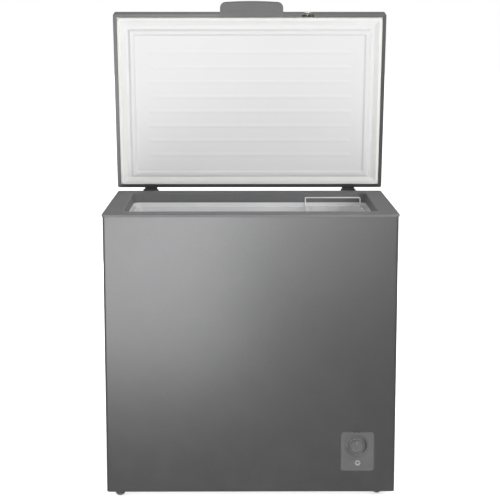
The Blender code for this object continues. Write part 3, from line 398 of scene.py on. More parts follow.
def wear_group():
    """Dust that gathers low down and in soft patches, and tiny scuffs."""
    tree, into, out = shader_group("Dust and scuffs", (("Dust", 0.3), ("Scuffs", 0.2)),
                                   ("Dust", "Scuffs"))
    coords = tree.nodes.new("ShaderNodeTexCoord").outputs["Object"]
    axes = tree.nodes.new("ShaderNodeSeparateXYZ")
    tree.links.new(coords, axes.inputs[0])
    low = remap(tree, axes.outputs["Z"], 0.25, 0.0)
    patches = remap(tree, noise(tree, coords, 14.0, 5.0, 0.65), 0.42, 0.70)
    dust = maths(tree, "MULTIPLY", maths(tree, "MULTIPLY", patches, into.outputs["Dust"]),
                 maths(tree, "ADD", maths(tree, "MULTIPLY", low, 0.7), 0.3))
    stretch = tree.nodes.new("ShaderNodeMapping")
    stretch.inputs["Scale"].default_value = (6.0, 6.0, 60.0)
    stretch.inputs["Rotation"].default_value = (0.2, 0.9, 0.4)
    tree.links.new(coords, stretch.inputs["Vector"])
    lines = remap(tree, noise(tree, stretch.outputs[0], 9.0, 6.0, 0.7), 0.66, 0.74)
    scuffs = maths(tree, "MULTIPLY", lines, into.outputs["Scuffs"])
    tree.links.new(dust, out.inputs["Dust"])
    tree.links.new(scuffs, out.inputs["Scuffs"])
    return tree


GROUPS = {}


def group_node(tree, key, maker, **values):
    if key not in GROUPS:
        GROUPS[key] = maker()
    node = tree.nodes.new("ShaderNodeGroup")
    node.node_tree = GROUPS[key]
    for title, value in values.items():
        node.inputs[title.replace("_", " ")].default_value = value
    return node


def blend_colour(tree, factor, first, second):
    node = tree.nodes.new("ShaderNodeMix")
    node.data_type = "RGBA"
    for socket, value in ((node.inputs[6], first), (node.inputs[7], second)):
        if isinstance(value, (tuple, list)):
            socket.default_value = (*value[:3], 1)
        else:
            tree.links.new(value, socket)
    if isinstance(factor, (int, float)):
        node.inputs[0].default_value = factor
    else:
        tree.links.new(factor, node.inputs[0])
    return node.outputs[2]


def finish(name, colour, rough, metal=0.0, grain=0.0008, blotch=0.06, bump=0.15, depth=0.00005,
           spread=0.08, rough_spread=0.06, dust=0.2, scuffs=0.15, coat=0.0, extra=None):
    """A finish with grain, soft tone changes, dust and scuffs over a Principled shader."""
    made = bpy.data.materials.new(name)
    made.use_nodes = True
    tree = made.node_tree
    shader = tree.nodes["Principled BSDF"]
    shader.inputs["Metallic"].default_value = metal
    shader.inputs["Coat Weight"].default_value = coat
    if coat:
        shader.inputs["Coat Roughness"].default_value = 0.18
    texture = group_node(tree, "grain", grain_group, Grain_size=grain, Blotch_size=blotch)
    wear = group_node(tree, "wear", wear_group, Dust=dust, Scuffs=scuffs)
    dark = tuple(c * (1 - spread) for c in colour)
    light = tuple(min(1, c * (1 + spread)) for c in colour)
    tone = blend_colour(tree, texture.outputs["Tone"], dark, light)
    tone = blend_colour(tree, wear.outputs["Dust"], tone, (0.55, 0.53, 0.50))
    tone = blend_colour(tree, wear.outputs["Scuffs"], tone, tuple(min(1, c * 1.35) for c in colour))
    roughness = remap(tree, texture.outputs["Tone"], 0, 1, rough - rough_spread,
                      rough + rough_spread)
    roughness = maths(tree, "ADD", roughness, maths(tree, "MULTIPLY", wear.outputs["Dust"], 0.3))
    height = texture.outputs["Height"]
    if extra:
        tone, roughness, height = extra(tree, tone, roughness, height)
    tree.links.new(tone, shader.inputs["Base Color"])
    tree.links.new(roughness, shader.inputs["Roughness"])
    relief = tree.nodes.new("ShaderNodeBump")
    relief.inputs["Strength"].default_value = bump
    relief.inputs["Distance"].default_value = depth
    tree.links.new(height, relief.inputs["Height"])
    tree.links.new(relief.outputs["Normal"], shader.inputs["Normal"])
    return made


def cell_pattern(tree, scale):
    """A cellular texture in the object's own coordinates."""
    coords = tree.nodes.new("ShaderNodeTexCoord").outputs["Object"]
    cells = tree.nodes.new("ShaderNodeTexVoronoi")
    cells.inputs["Scale"].default_value = scale
    tree.links.new(coords, cells.inputs["Vector"])
    return cells


def flakes(tree, tone, roughness, height):
    """Metal flake in the paint."""
    cells = cell_pattern(tree, 1600.0)
    split = tree.nodes.new("ShaderNodeSeparateColor")
    tree.links.new(cells.outputs["Color"], split.inputs[0])
    sparkle = remap(tree, split.outputs[0], 0.0, 1.0, 0.90, 1.10)
    scaled = tree.nodes.new("ShaderNodeVectorMath")
    scaled.operation = "SCALE"
    tree.links.new(tone, scaled.inputs[0])
    tree.links.new(sparkle, scaled.inputs["Scale"])
    return scaled.outputs[0], roughness, height


def spangle(tree, tone, roughness, height):
    """The crystal pattern of galvanised sheet."""
    cells = cell_pattern(tree, 85.0)
    split = tree.nodes.new("ShaderNodeSeparateColor")
    tree.links.new(cells.outputs["Color"], split.inputs[0])
    tone = blend_colour(tree, maths(tree, "MULTIPLY", split.outputs[0], 0.16), tone,
                        (0.76, 0.77, 0.79))
    roughness = maths(tree, "ADD", roughness, remap(tree, split.outputs[1], 0, 1, -0.03, 0.04))
    return tone, roughness, height


def stucco(tree, tone, roughness, height):
    """The embossed texture of liner sheet."""
    cells = cell_pattern(tree, 260.0)
    cells.feature = "SMOOTH_F1"
    height = maths(tree, "ADD", maths(tree, "MULTIPLY", height, 0.3), cells.outputs["Distance"])
    return tone, roughness, height


def foam_cells(tree, tone, roughness, height):
    """Open cells of cut foam, darker where the surface is lowered: painted shade in the hollows."""
    cells = cell_pattern(tree, 420.0)
    shade = remap(tree, cells.outputs["Distance"], 0.1, 0.7)
    # Painted shade: the colour darkens by the same mask that lowers the surface.
    tone = blend_colour(tree, maths(tree, "MULTIPLY", shade, 0.45), tone, (0.62, 0.50, 0.30))
    return tone, roughness, maths(tree, "SUBTRACT", height, shade)


FINISHES = {}


def finishes(colours):
    """All finishes, made once from the colours a user can change."""
    if FINISHES:
        return FINISHES
    c = colours
    FINISHES.update({
        "paint": finish("Graphite paint", c.body, 0.34, 0.85, 0.0022, 0.30, 0.06, 0.00002,
                        0.015, 0.012, 0.03, 0.03, extra=flakes),
        "frame": finish("Grey frame moulding", c.frame, 0.54, 0.0, 0.0011, 0.12, 0.10, 0.00003,
                        0.04, 0.04, 0.08, 0.08),
        "tray": finish("White lid tray", c.tray, 0.40, 0.0, 0.0016, 0.20, 0.10, 0.00003,
                       0.012, 0.05, 0.02, 0.02, coat=0.15),
        "liner": finish("Bin liner sheet", c.liner, 0.34, 0.20, 0.0030, 0.16, 0.22, 0.00012,
                        0.05, 0.05, 0.02, 0.05, extra=stucco),
        "seal": finish("White seal rubber", (0.80, 0.80, 0.78), 0.62, 0.0, 0.0009, 0.05, 0.2,
                       0.00004, 0.03, 0.05, 0.08, 0.0),
        "panel": finish("Control panel moulding", c.panel, 0.42, 0.15, 0.0009, 0.05, 0.12,
                        0.00003, 0.05, 0.05, 0.06, 0.05),
        "ink": finish("Printed scale", (0.028, 0.028, 0.030), 0.5, 0.0, 0.0006, 0.02, 0.1,
                      0.00001, 0.05, 0.04, 0.0, 0.0),
        "lamp_ring": finish("Lamp ring", (0.30, 0.30, 0.31), 0.34, 0.1, 0.0008, 0.02, 0.08,
                            0.00002, 0.04, 0.04, 0.02, 0.0),
        "lens": finish("Lamp lens", (0.05, 0.11, 0.07), 0.16, 0.0, 0.0006, 0.01, 0.05,
                       0.00001, 0.10, 0.03, 0.0, 0.0, coat=0.6),
        "wire": finish("White wire coating", (0.86, 0.86, 0.86), 0.26, 0.0, 0.0012, 0.03, 0.12,
                       0.00005, 0.02, 0.05, 0.02, 0.03, coat=0.3),
        "black": finish("Black enamel", (0.018, 0.018, 0.019), 0.38, 0.0, 0.0012, 0.03, 0.2,
                        0.00004, 0.15, 0.06, 0.12, 0.25),
        "dark": finish("Dark moulding", (0.045, 0.045, 0.048), 0.50, 0.0, 0.0009, 0.05, 0.2,
                       0.00004, 0.08, 0.05, 0.20, 0.15),
        "rubber": finish("Black rubber", (0.022, 0.022, 0.023), 0.78, 0.0, 0.0010, 0.02, 0.3,
                         0.00006, 0.15, 0.06, 0.35, 0.1),
        "zinc": finish("Zinc plate", (0.56, 0.56, 0.55), 0.34, 1.0, 0.0007, 0.02, 0.15,
                       0.00002, 0.10, 0.08, 0.10, 0.2),
        "chrome": finish("Polished chrome", (0.72, 0.72, 0.73), 0.12, 1.0, 0.0006, 0.02, 0.04,
                         0.00001, 0.03, 0.04, 0.03, 0.1),
        "steel": finish("Galvanised sheet", (0.60, 0.61, 0.62), 0.46, 0.60, 0.0012, 0.20, 0.08,
                        0.00002, 0.02, 0.03, 0.05, 0.06, extra=spangle),
        "copper": finish("Drawn copper", (0.66, 0.31, 0.19), 0.34, 1.0, 0.0010, 0.02, 0.1,
                         0.00002, 0.16, 0.08, 0.12, 0.1),
        "foam": finish("Rigid foam", (0.78, 0.68, 0.44), 0.92, 0.0, 0.0020, 0.04, 0.6,
                       0.0004, 0.07, 0.04, 0.05, 0.0, extra=foam_cells),
        # Painted shade for the floor of the panel's groove.
        "groove": finish("Groove sealant", (0.07, 0.07, 0.072), 0.7, 0.0, 0.0010, 0.03, 0.2,
                         0.00004, 0.08, 0.05, 0.0, 0.0),
    })
    return FINISHES


# --------------------------------------------------------------- geometry node trees
def node_socket(tree, name, kind, default, in_out="INPUT"):
    socket = tree.interface.new_socket(name, in_out=in_out, socket_type=kind)
    if default is not None:
        socket.default_value = default
    return socket.identifier


def run_tree(obj, tree, values):
    """Adds a node tree, sets its inputs by identifier, and makes the result plain."""
    step = obj.modifiers.new(tree.name, "NODES")
    step.node_group = tree
    for identifier, value in values.items():
        step[identifier] = value
    return settle(obj)


def wire_tree(material):
    """Round wire along every edge path of a mesh."""
    tree = bpy.data.node_groups.new("Round wire", "GeometryNodeTree")
    node_socket(tree, "Paths", "NodeSocketGeometry", None)
    radius = node_socket(tree, "Wire radius", "NodeSocketFloat", 0.0023)
    sides = node_socket(tree, "Sides", "NodeSocketInt", 14)
    node_socket(tree, "Geometry", "NodeSocketGeometry", None, "OUTPUT")
    into = tree.nodes.new("NodeGroupInput")
    out = tree.nodes.new("NodeGroupOutput")
    path = tree.nodes.new("GeometryNodeMeshToCurve")
    circle = tree.nodes.new("GeometryNodeCurvePrimitiveCircle")
    sweep = tree.nodes.new("GeometryNodeCurveToMesh")
    sweep.inputs["Fill Caps"].default_value = True
    real = tree.nodes.new("GeometryNodeRealizeInstances")
    paint = tree.nodes.new("GeometryNodeSetMaterial")
    paint.inputs["Material"].default_value = material
    link = tree.links.new
    link(into.outputs["Paths"], path.inputs["Mesh"])
    link(into.outputs["Wire radius"], circle.inputs["Radius"])
    link(into.outputs["Sides"], circle.inputs["Resolution"])
    link(path.outputs[0], sweep.inputs["Curve"])
    link(circle.outputs[0], sweep.inputs["Profile Curve"])
    link(sweep.outputs[0], real.inputs[0])
    link(real.outputs[0], paint.inputs["Geometry"])
    link(paint.outputs[0], out.inputs[0])
    return tree, {"radius": radius, "sides": sides}


def copies_tree(material, name="Copies on points"):
    """One shape repeated on every point of a mesh, kept in its own orientation."""
    tree = bpy.data.node_groups.new(name, "GeometryNodeTree")
    node_socket(tree, "Points", "NodeSocketGeometry", None)
    shape = node_socket(tree, "Shape", "NodeSocketObject", None)
    turn = node_socket(tree, "Twist", "NodeSocketFloat", 0.0)
    seed = node_socket(tree, "Seed", "NodeSocketInt", COPY_SEED)
    node_socket(tree, "Geometry", "NodeSocketGeometry", None, "OUTPUT")
    into = tree.nodes.new("NodeGroupInput")
    out = tree.nodes.new("NodeGroupOutput")
    points = tree.nodes.new("GeometryNodeMeshToPoints")
    info = tree.nodes.new("GeometryNodeObjectInfo")
    info.inputs["As Instance"].default_value = True
    place = tree.nodes.new("GeometryNodeInstanceOnPoints")
    spin = tree.nodes.new("FunctionNodeRandomValue")
    low = tree.nodes.new("ShaderNodeMath")
    low.operation = "MULTIPLY"
    low.inputs[1].default_value = -1.0
    angle = tree.nodes.new("ShaderNodeCombineXYZ")
    real = tree.nodes.new("GeometryNodeRealizeInstances")
    paint = tree.nodes.new("GeometryNodeSetMaterial")
    paint.inputs["Material"].default_value = material
    link = tree.links.new
    link(into.outputs["Points"], points.inputs["Mesh"])
    link(into.outputs["Shape"], info.inputs["Object"])
    link(points.outputs[0], place.inputs["Points"])
    link(info.outputs["Geometry"], place.inputs["Instance"])
    link(into.outputs["Twist"], low.inputs[0])
    link(low.outputs[0], spin.inputs[2])
    link(into.outputs["Twist"], spin.inputs[3])
    link(into.outputs["Seed"], spin.inputs["Seed"])
    link(spin.outputs[1], angle.inputs["Y"])
    link(angle.outputs[0], place.inputs["Rotation"])
    link(place.outputs[0], real.inputs[0])
    link(real.outputs[0], paint.inputs["Geometry"])
    link(paint.outputs[0], out.inputs[0])
    return tree, {"shape": shape, "twist": turn, "seed": seed}


def repeated(name, points, shape, material, twist=0.0, turn=None):
    """A piece made of one shape copied to each point by a node tree."""
    holder = new_object(name, points, [])
    master = new_object(name + "_master", *shape)
    tree, keys = copies_tree(material, name + " copies")
    run_tree(holder, tree, {keys["shape"]: master, keys["twist"]: twist, keys["seed"]: COPY_SEED})
    bpy.data.objects.remove(master, do_unlink=True)
    if turn:
        holder.data.transform(turn)
    return holder


# ---------------------------------------------------------------- what can be changed
class FreezerSizes(bpy.types.PropertyGroup):
    corner: bpy.props.FloatProperty(
        name="Cabinet corner", description="Plan radius of the cabinet's corners",
        default=0.007, unit="LENGTH", subtype="DISTANCE")
    opening_corner: bpy.props.FloatProperty(
        name="Opening corner", description="Plan radius of the opening in the top frame",
        default=0.024, unit="LENGTH", subtype="DISTANCE")
    rib_pitch: bpy.props.FloatProperty(
        name="Tray rib pitch", description="Spacing of the ribs on the lid's tray",
        default=0.0450, unit="LENGTH", subtype="DISTANCE")
    rib_count: bpy.props.IntProperty(
        name="Tray ribs", description="How many ribs the lid's tray has", default=8)
    wire_radius: bpy.props.FloatProperty(
        name="Basket wire", description="Radius of the basket's frame wire",
        default=0.0023, unit="LENGTH", subtype="DISTANCE")
    scale_ticks: bpy.props.IntProperty(
        name="Dial ticks", description="How many ticks the dial's scale has", default=9)
    imprint: bpy.props.FloatProperty(
        name="Tube imprint", description="How far the cooling tubes show through the bin",
        default=0.0009, unit="LENGTH", subtype="DISTANCE")


class FreezerColours(bpy.types.PropertyGroup):
    body: bpy.props.FloatVectorProperty(
        name="Cabinet and lid", description="Colour of the painted sheet metal",
        default=(0.114, 0.114, 0.116), subtype="COLOR")
    frame: bpy.props.FloatVectorProperty(
        name="Frame and pull", description="Colour of the top frame and the lid's pull",
        default=(0.139, 0.139, 0.141), subtype="COLOR")
    tray: bpy.props.FloatVectorProperty(
        name="Lid tray", description="Colour of the lid's inner tray",
        default=(0.746, 0.746, 0.746), subtype="COLOR")
    liner: bpy.props.FloatVectorProperty(
        name="Bin liner", description="Colour of the bin",
        default=(0.763, 0.763, 0.774), subtype="COLOR")
    panel: bpy.props.FloatVectorProperty(
        name="Control panel", description="Colour of the panel and knob",
        default=(0.115, 0.115, 0.118), subtype="COLOR")


def choices():
    scene = bpy.context.scene
    return scene.freezer_sizes, scene.freezer_colours


class BuildStep(bpy.types.Operator):
    """One step of building the freezer."""
    bl_idname = "freezer.step"
    bl_label = "Build step"
    bl_options = {"REGISTER", "UNDO"}

    def execute(self, context):
        sizes, colours = choices()
        self.build(sizes, finishes(colours))
        return {"FINISHED"}


class FREEZER_OT_cabinet(BuildStep):
    """The wrapped outer skin, the back, the bottom and the bay's sheets"""
    bl_idname = "freezer.cabinet"
    bl_label = "Cabinet"

    def build(self, sizes, looks):
        mid_y = (FRONT + BACK) / 2
        half_x = CAB_HIGH.x
        half_y = (BACK - FRONT) / 2
        end = span("rear_panel")[1].x + GAP

        def path(inset):
            ring = rounded(half_x - inset, half_y - inset, sizes.corner - inset, 14, (0, mid_y))
            ring = ring[15:] + ring[:15]
            return [(-end, mid_y + half_y - inset)] + ring + [(end, mid_y + half_y - inset)]

        rings = []
        low, high = CAB_LOW.z, CAB_HIGH.z
        hem = 0.0004
        for (ox, oy), (ix, iy) in zip(path(0), path(SHEET)):
            rings.append([(ox, oy, low + hem), (ox + (ix - ox) * 0.3, oy + (iy - oy) * 0.3, low),
                          (ox + (ix - ox) * 0.7, oy + (iy - oy) * 0.7, low),
                          (ix, iy, low + hem), (ix, iy, high), (ox, oy, high)])
        skin_piece = new_object("cabinet_skin", *skin(rings))
        panel_low, panel_high = PANEL_HOLE
        mid = ((panel_low[0] + panel_high[0]) / 2, (panel_low[1] + panel_high[1]) / 2)
        half = ((panel_high[0] - panel_low[0]) / 2, (panel_high[1] - panel_low[1]) / 2)
        hole = skin([face_ring(*half, 0.012, y, mid, 14) for y in (FRONT - 0.01, FRONT + 0.01)])
        carve(skin_piece, [hole])
        finish_piece(skin_piece, looks["paint"], "cabinet", ("outer_shell",),
                     sharp=40)

        low, high = span("rear_panel")
        sheet = new_object("back_sheet", *box_mesh(low, high))
        beads = []
        for x in BEAD_PLACES:
            levels = ((0.0, -0.0002), (0.003, 0.0008), (0.006, 0.0012))
            beads.append(skin([
                face_ring(0.014 - inset, 0.300 - inset, 0.014 - inset, high.y + out,
                          (x, 0.395), 8)
                for inset, out in levels
            ]))
        carve(sheet, beads, "UNION")
        window = box_mesh((0.172, low.y - 0.01, 0.047), (0.368, high.y + 0.01, 0.213))
        cord_hole = rod((0.270, low.y - 0.01, 0.229), (0, 1, 0), 0.0063, 0.02, 32)
        carve(sheet, [window, cord_hole])
        finish_piece(sheet, looks["steel"], "cabinet", ("rear_panel",), sharp=25)

        for node in ("bottom_panel", "base_plate", "bay_partition"):
            softened(node, looks["steel"], "cabinet", 0.0002)


class FREEZER_OT_rim(BuildStep):
    """The moulded top frame with its bead, flange and collar"""
    bl_idname = "freezer.rim"
    bl_label = "Top frame"

    def build(self, sizes, looks):
        mid_y = (RIM_LOW.y + RIM_HIGH.y) / 2
        half_x, half_y = RIM_HIGH.x, (RIM_HIGH.y - RIM_LOW.y) / 2
        wall = 0.0021
        skirt = 0.0090
        corner = sizes.opening_corner

        def inner(grow, z):
            return plan_ring(OPENING[0] + grow, OPENING[1] + grow, corner + grow, z, OPENING[2], 14)

        def outer(inset, z):
            return plan_ring(half_x - inset, half_y - inset, sizes.corner + 0.0024 - inset, z,
                             mid_y, 14)

        top = RIM_TOP
        under = top - wall - GAP
        rings = [inner(0.0006, RIM_LOW.z), inner(0, RIM_LOW.z + 0.0008), inner(0, top - 0.0052)]
        for a in quarter(8)[1:-1]:
            rings.append(inner(0.0040 * (1 - math.cos(a)), top - 0.0040 * (1 - math.sin(a))))
        rings.append(inner(0.0042, top))
        rings.append(inner(0.0090, top))
        rings.append(outer(0.0080, top))
        for a in quarter(8):
            rings.append(outer(0.0034 * (1 - math.sin(a)), top - 0.0034 * (1 - math.cos(a))))
        rings += [outer(0, top - skirt + 0.0010), outer(0.0003, top - skirt + 0.0002),
                  outer(0.0008, top - skirt), outer(wall, top - skirt), outer(wall, under),
                  inner(wall, under), inner(wall, RIM_LOW.z), inner(0.0012, RIM_LOW.z)]
        piece = new_object("top_rim", *skin(rings, closed=True))
        finish_piece(piece, looks["frame"], "cabinet", ("top_frame",), sharp=50)


class FREEZER_OT_bin(BuildStep):
    """The bin with its ledge, raised floor and drain, and the foam and tubes behind it"""
    bl_idname = "freezer.bin"
    bl_label = "Bin"

    def build(self, sizes, looks):
        wall = 0.0015
        ledge = 0.0050
        corner = sizes.opening_corner
        mid_y = OPENING[2]
        half_x, half_y = OPENING[0] - ledge, OPENING[1] - ledge
        flange = BIN_HIGH.x - half_x
        ledge_z = LEDGE_Z
        step_z, floor_z, step_x = 0.2850, BIN_LOW.z + wall, 0.1150
        draft = 0.0015

        def upper(grow, low, high, imprint):
            rings = []
            bend = 0.016 + grow
            for a in quarter(6):
                inset = bend * (1 - math.sin(a))
                rings.append(plan_ring(half_x + grow - inset, half_y + grow - inset, corner + grow,
                                       low + bend * (1 - math.cos(a)), mid_y, 12))
            if imprint:
                z = low + bend + 0.012
                while z < ledge_z - 0.020:
                    phase = (ledge_z - 0.040 - z) / 0.0766
                    near = 0.5 + 0.5 * math.cos(2 * math.pi * phase)
                    push = -imprint * near ** 10
                    rings.append(plan_ring(half_x + grow + push, half_y + grow + push,
                                           corner + grow, z, mid_y, 12))
                    z += 0.0042
            if imprint:
                for a in quarter(5):
                    out = grow + 0.0010 * (1 - math.cos(a))
                    rings.append(plan_ring(half_x + out, half_y + out, corner + out,
                                           ledge_z - 0.0010 * (1 - math.sin(a)), mid_y, 12))
                grow += 0.0010
            rings.append(plan_ring(half_x + grow, half_y + grow, corner + grow, high, mid_y, 12))
            return skin(rings)

        def neck():
            """The room above the ledge, inside the upturned lip."""
            rings = []
            for a in quarter(5):
                inset = 0.0008 * (1 - math.sin(a)) - 0.0024
                rings.append(plan_ring(OPENING[0] - inset, OPENING[1] - inset, corner - inset,
                                       ledge_z + 0.0008 * (1 - math.cos(a)), mid_y, 12))
            rings.append(plan_ring(OPENING[0] + 0.0024, OPENING[1] + 0.0024, corner + 0.0024,
                                   BIN_HIGH.z + 0.01, mid_y, 12))
            return skin(rings)

        def well(grow, high):
            x1 = step_x + grow
            centre = (x1 - half_x - grow) / 2
            half = (x1 + half_x + grow) / 2 - draft
            rings = []
            bend = 0.014 + grow
            for a in quarter(6):
                inset = bend * (1 - math.sin(a))
                rings.append(plan_ring(half - inset, half_y + grow - draft - inset,
                                       corner + grow - 0.003, floor_z - grow
                                       + bend * (1 - math.cos(a)), mid_y, 12, centre))
            rings.append(plan_ring(half, half_y + grow - draft, corner + grow - 0.003, high,
                                   mid_y, 12, centre))
            return skin(rings)

        body = new_object("bin_liner", *upper(wall, step_z - wall, ledge_z - wall, 0))
        top = skin([plan_ring(half_x + flange, half_y + flange, corner + flange - ledge, z,
                              mid_y, 12)
                    for z in (ledge_z - wall, BIN_HIGH.z)])
        carve(body, [top], "UNION")
        carve(body, [neck()])
        carve(body, [well(wall, step_z + 0.030)], "UNION")
        carve(body, [upper(0, step_z, ledge_z + 0.01, sizes.imprint)])
        carve(body, [well(0, step_z + 0.033)])
        low, high = span("drain_plug")
        centre = (low + high) / 2
        carve(body, [rod((centre.x, centre.y, floor_z - 0.02), (0, 0, 1), 0.0070, 0.04, 32)])
        finish_piece(body, looks["liner"], "cabinet", ("inner_liner",), sharp=35)
        for node, look in (("cabinet_foam", "foam"), ("lid_foam", "foam"),
                           ("evaporator_coil", "copper"), ("condenser_coil", "copper"),
                           ("drain_tube", "tray")):
            dress(node, looks[look])

        seat = floor_z + GAP
        profile = eased([(0.0001, -0.018), (0.0054, -0.018), (0.0062, -0.014), (0.0065, 0),
                         (0.0125, 0), (0.0125, 0.0018), (0.0105, 0.0030), (0.0042, 0.0034),
                         (0.0034, 0.0060), (0.0036, 0.0078), (0.0055, 0.0090),
                         (0.0055, 0.0105), (0.0001, 0.0115)], 0.0006, 4)
        plug = new_object("floor_plug", *turned(profile, (centre.x, centre.y, seat), (0, 0, 1), 40))
        finish_piece(plug, looks["tray"], "plug", ("drain_plug",), sharp=50)


class FREEZER_OT_lid(BuildStep):
    """The lid: painted skin, ribbed tray, seal, front pull and key lock"""
    bl_idname = "freezer.lid"
    bl_label = "Lid"

    def build(self, sizes, looks):
        half_x = LID_HIGH.x
        half_y = (LID_HIGH.y - LID_LOW.y) / 2
        mid_y = (LID_HIGH.y + LID_LOW.y) / 2
        low, top = LID_LOW.z, LID_HIGH.z
        border = 0.0105

        def ring(inset, z, radius=0.006):
            return plan_ring(half_x - inset, half_y - inset,
                             max(radius - inset, 0.0012), z, mid_y, 14)

        def field(inset, z):
            if inset < 0.02:
                return ring(inset, z)
            return plan_ring(half_x - inset, half_y - inset + RIDGE_GROW, RIDGE_R, z,
                             mid_y + RIDGE_SHIFT, 14)

        rings = []
        bend = 0.0075
        for a in quarter(8):
            rings.append(ring(bend * (1 - math.sin(a)), top - bend * (1 - math.cos(a))))
        rings += [ring(0, low + 0.0016), ring(0.0003, low + 0.0006), ring(0.0011, low),
                  ring(border - 0.0004, low), ring(border, low + 0.0004),
                  ring(border, low + SHEET), ring(0.0022, low + SHEET),
                  ring(SHEET, low + SHEET + 0.0012)]
        inner = bend - SHEET
        for a in reversed(quarter(8)):
            rings.append(ring(SHEET + inner * (1 - math.sin(a)),
                              top - SHEET - inner * (1 - math.cos(a))))
        cover = new_object("lid_skin", *skin(rings), TURN_LID)
        slot_low = (LOCK.x - 0.019, LID_LOW.y + 0.0022)
        slot = skin([plan_ring(0.019, 0.0035, 0.0033, z, slot_low[1] + 0.0035, 8, LOCK.x)
                     for z in (low - 0.002, low + 0.003)])
        bore = rod((LOCK.x, LID_LOW.y - 0.01, LOCK.z), (0, 1, 0), 0.0073, 0.015)
        carve(cover, [slot, bore], turn=TURN_LID)
        finish_piece(cover, looks["paint"], "lid", ("lid_shell",), sharp=40)

        edge = border + GAP
        under = TRAY_HIGH.z - 0.0015
        outline = eased([(edge, under), (0.0432, under), (0.0466, under - 0.0034),
                         (0.0486, under - 0.0060), (0.0505, under - 0.0064),
                         (0.0575, under - 0.0064), (0.0598, under - 0.0050),
                         (0.0630, under - 0.0026), (0.0700, under - 0.0024),
                         (0.0760, under - 0.0024)], 0.0022, 5)
        rings = [field(inset, z) for inset, z in reversed(outline)]
        rings += [field(inset, z + 0.0013) for inset, z in outline]
        tray = new_object("lid_tray", *skin(rings), TURN_LID)
        finish_piece(tray, looks["tray"], "lid", ("lid_liner",), sharp=60)

        rib_half = half_x - 0.105
        face = under - 0.0024
        stations = []
        for k in range(25):
            t = k / 24
            stations.append(-rib_half + 2 * rib_half * t)
        shape = []
        for x in [-rib_half - 0.006, -rib_half] + stations[1:-1] + [rib_half, rib_half + 0.006]:
            fade = 0.0 if abs(x) > rib_half + 0.001 else 1.0
            arc = []
            for k in range(13):
                u = -1 + 2 * k / 12
                arc.append((x, u * 0.0080, 0.00003 - 0.00040 * fade * (1 - u * u) ** 2))
            shape.append(arc + [(x, 0.0080, 0.0006), (x, -0.0080, 0.0006)])
        count = sizes.rib_count
        points = [(0, mid_y + RIDGE_SHIFT + (k - (count - 1) / 2) * sizes.rib_pitch, face)
                  for k in range(count)]
        ribs = repeated("tray_ribs", points, skin(shape), looks["tray"], turn=TURN_LID)
        finish_piece(ribs, looks["tray"], "lid", sharp=60)

        out = border + 0.0008
        seal_low, seal_high = closed_span("lid_gasket")
        tall = seal_high.z - seal_low.z
        outline = eased([(out + 0.0060, seal_high.z), (out + 0.0012, seal_high.z),
                         (out, seal_high.z - tall * 0.18), (out + 0.0020, seal_high.z - tall * 0.5),
                         (out, seal_low.z + tall * 0.25), (out + 0.0016, seal_low.z),
                         (out + 0.0090, seal_low.z), (out + 0.0106, seal_low.z + 0.0009),
                         (out + 0.0200, seal_low.z + 0.0065),
                         (out + 0.0215, seal_low.z + 0.0073),
                         (out + 0.0215, seal_high.z)], 0.0012, 4)
        seal = new_object("lid_seal", *skin([ring(i, z, 0.024) for i, z in outline], True),
                          TURN_LID)
        finish_piece(seal, looks["seal"], "lid", ("lid_gasket",), sharp=60)

        self.pull(looks)
        self.lock(looks)

    def pull(self, looks):
        """The moulded pull, bowed along its front and tucked under the lid's flange."""
        low, high = closed_span("lid_handle")
        half = (high.x - low.x) / 2
        middle = (high.x + low.x) / 2
        face = LID_LOW.y
        z = LID_LOW.z
        corner = 0.016
        reach_most = face - low.y
        stations = [half * k / 16 * (half - corner) / half for k in range(17)]
        stations += [half - corner + corner * math.sin(a) for a in quarter(14)[1:]]
        stations = [-x for x in reversed(stations[1:])] + stations
        rings = []
        for x in stations:
            over = max(0.0, abs(x) - (half - corner))
            fall = corner - math.sqrt(max(0.0, corner ** 2 - over ** 2))
            reach = reach_most - 0.0039 * (x / half) ** 2 - fall
            t = reach / reach_most
            end = 1.0 - 0.35 * (over / corner) ** 3
            profile = [(0.0100, -0.0020), (-0.0066 * t, -0.0020), (-0.0078 * t, -0.0014),
                       (-reach * 0.90, -0.0010), (-reach, 0.0006), (-reach, 0.0040),
                       (-reach * 0.985, 0.0088 * end), (-reach * 0.86, 0.0106 * end),
                       (-reach * 0.35, 0.0158 * end), (-0.0010, 0.0212), (-0.0003, 0.0212),
                       (-0.0003, -0.0003), (0.0100, -0.0003)]
            outline = eased(profile, 0.0022, 4)
            rings.append([(middle + x, face + y, z + dz) for y, dz in outline])
        grip = new_object("lid_pull", *skin(rings), TURN_LID)
        finish_piece(grip, looks["frame"], "lid", ("lid_handle",), sharp=38)

    def lock(self, looks):
        centre = (LOCK.x, LID_LOW.y, LOCK.z)
        profile = eased([(0.0073, 0.0006), (0.0073, 0.0003), (0.0115, 0.0003), (0.0115, 0.0010),
                         (0.0106, 0.0019), (0.0086, 0.0024), (0.0073, 0.0018),
                         (0.0073, 0.0007)], 0.0004, 4)
        collar = new_object("lock_bezel", *turned(profile, centre, (0, -1, 0), 64, closed=True),
                            TURN_LID)
        finish_piece(collar, looks["chrome"], "lid", ("lock_collar",), sharp=50)
        profile = eased([(0.0001, -0.0180), (0.0042, -0.0180), (0.0042, -0.0130),
                         (0.0070, -0.0130), (0.0070, 0.0013), (0.0062, 0.0020),
                         (0.0001, 0.0020)], 0.0005, 3)
        plug = new_object("lock_plug", *turned(profile, centre, (0, -1, 0), 48), TURN_LID)
        x, y, z = centre
        cam = box_mesh((x - 0.020, y + 0.0137, z - 0.0045), (x + 0.0045, y + 0.0157, z + 0.0045))
        carve(plug, [cam], "UNION", TURN_LID)
        key = box_mesh((x - 0.0007, y - 0.004, z - 0.0035), (x + 0.0007, y - 0.0008, z + 0.0035))
        carve(plug, [key], turn=TURN_LID)
        finish_piece(plug, looks["chrome"], "lock", ("lock_barrel",), sharp=40)


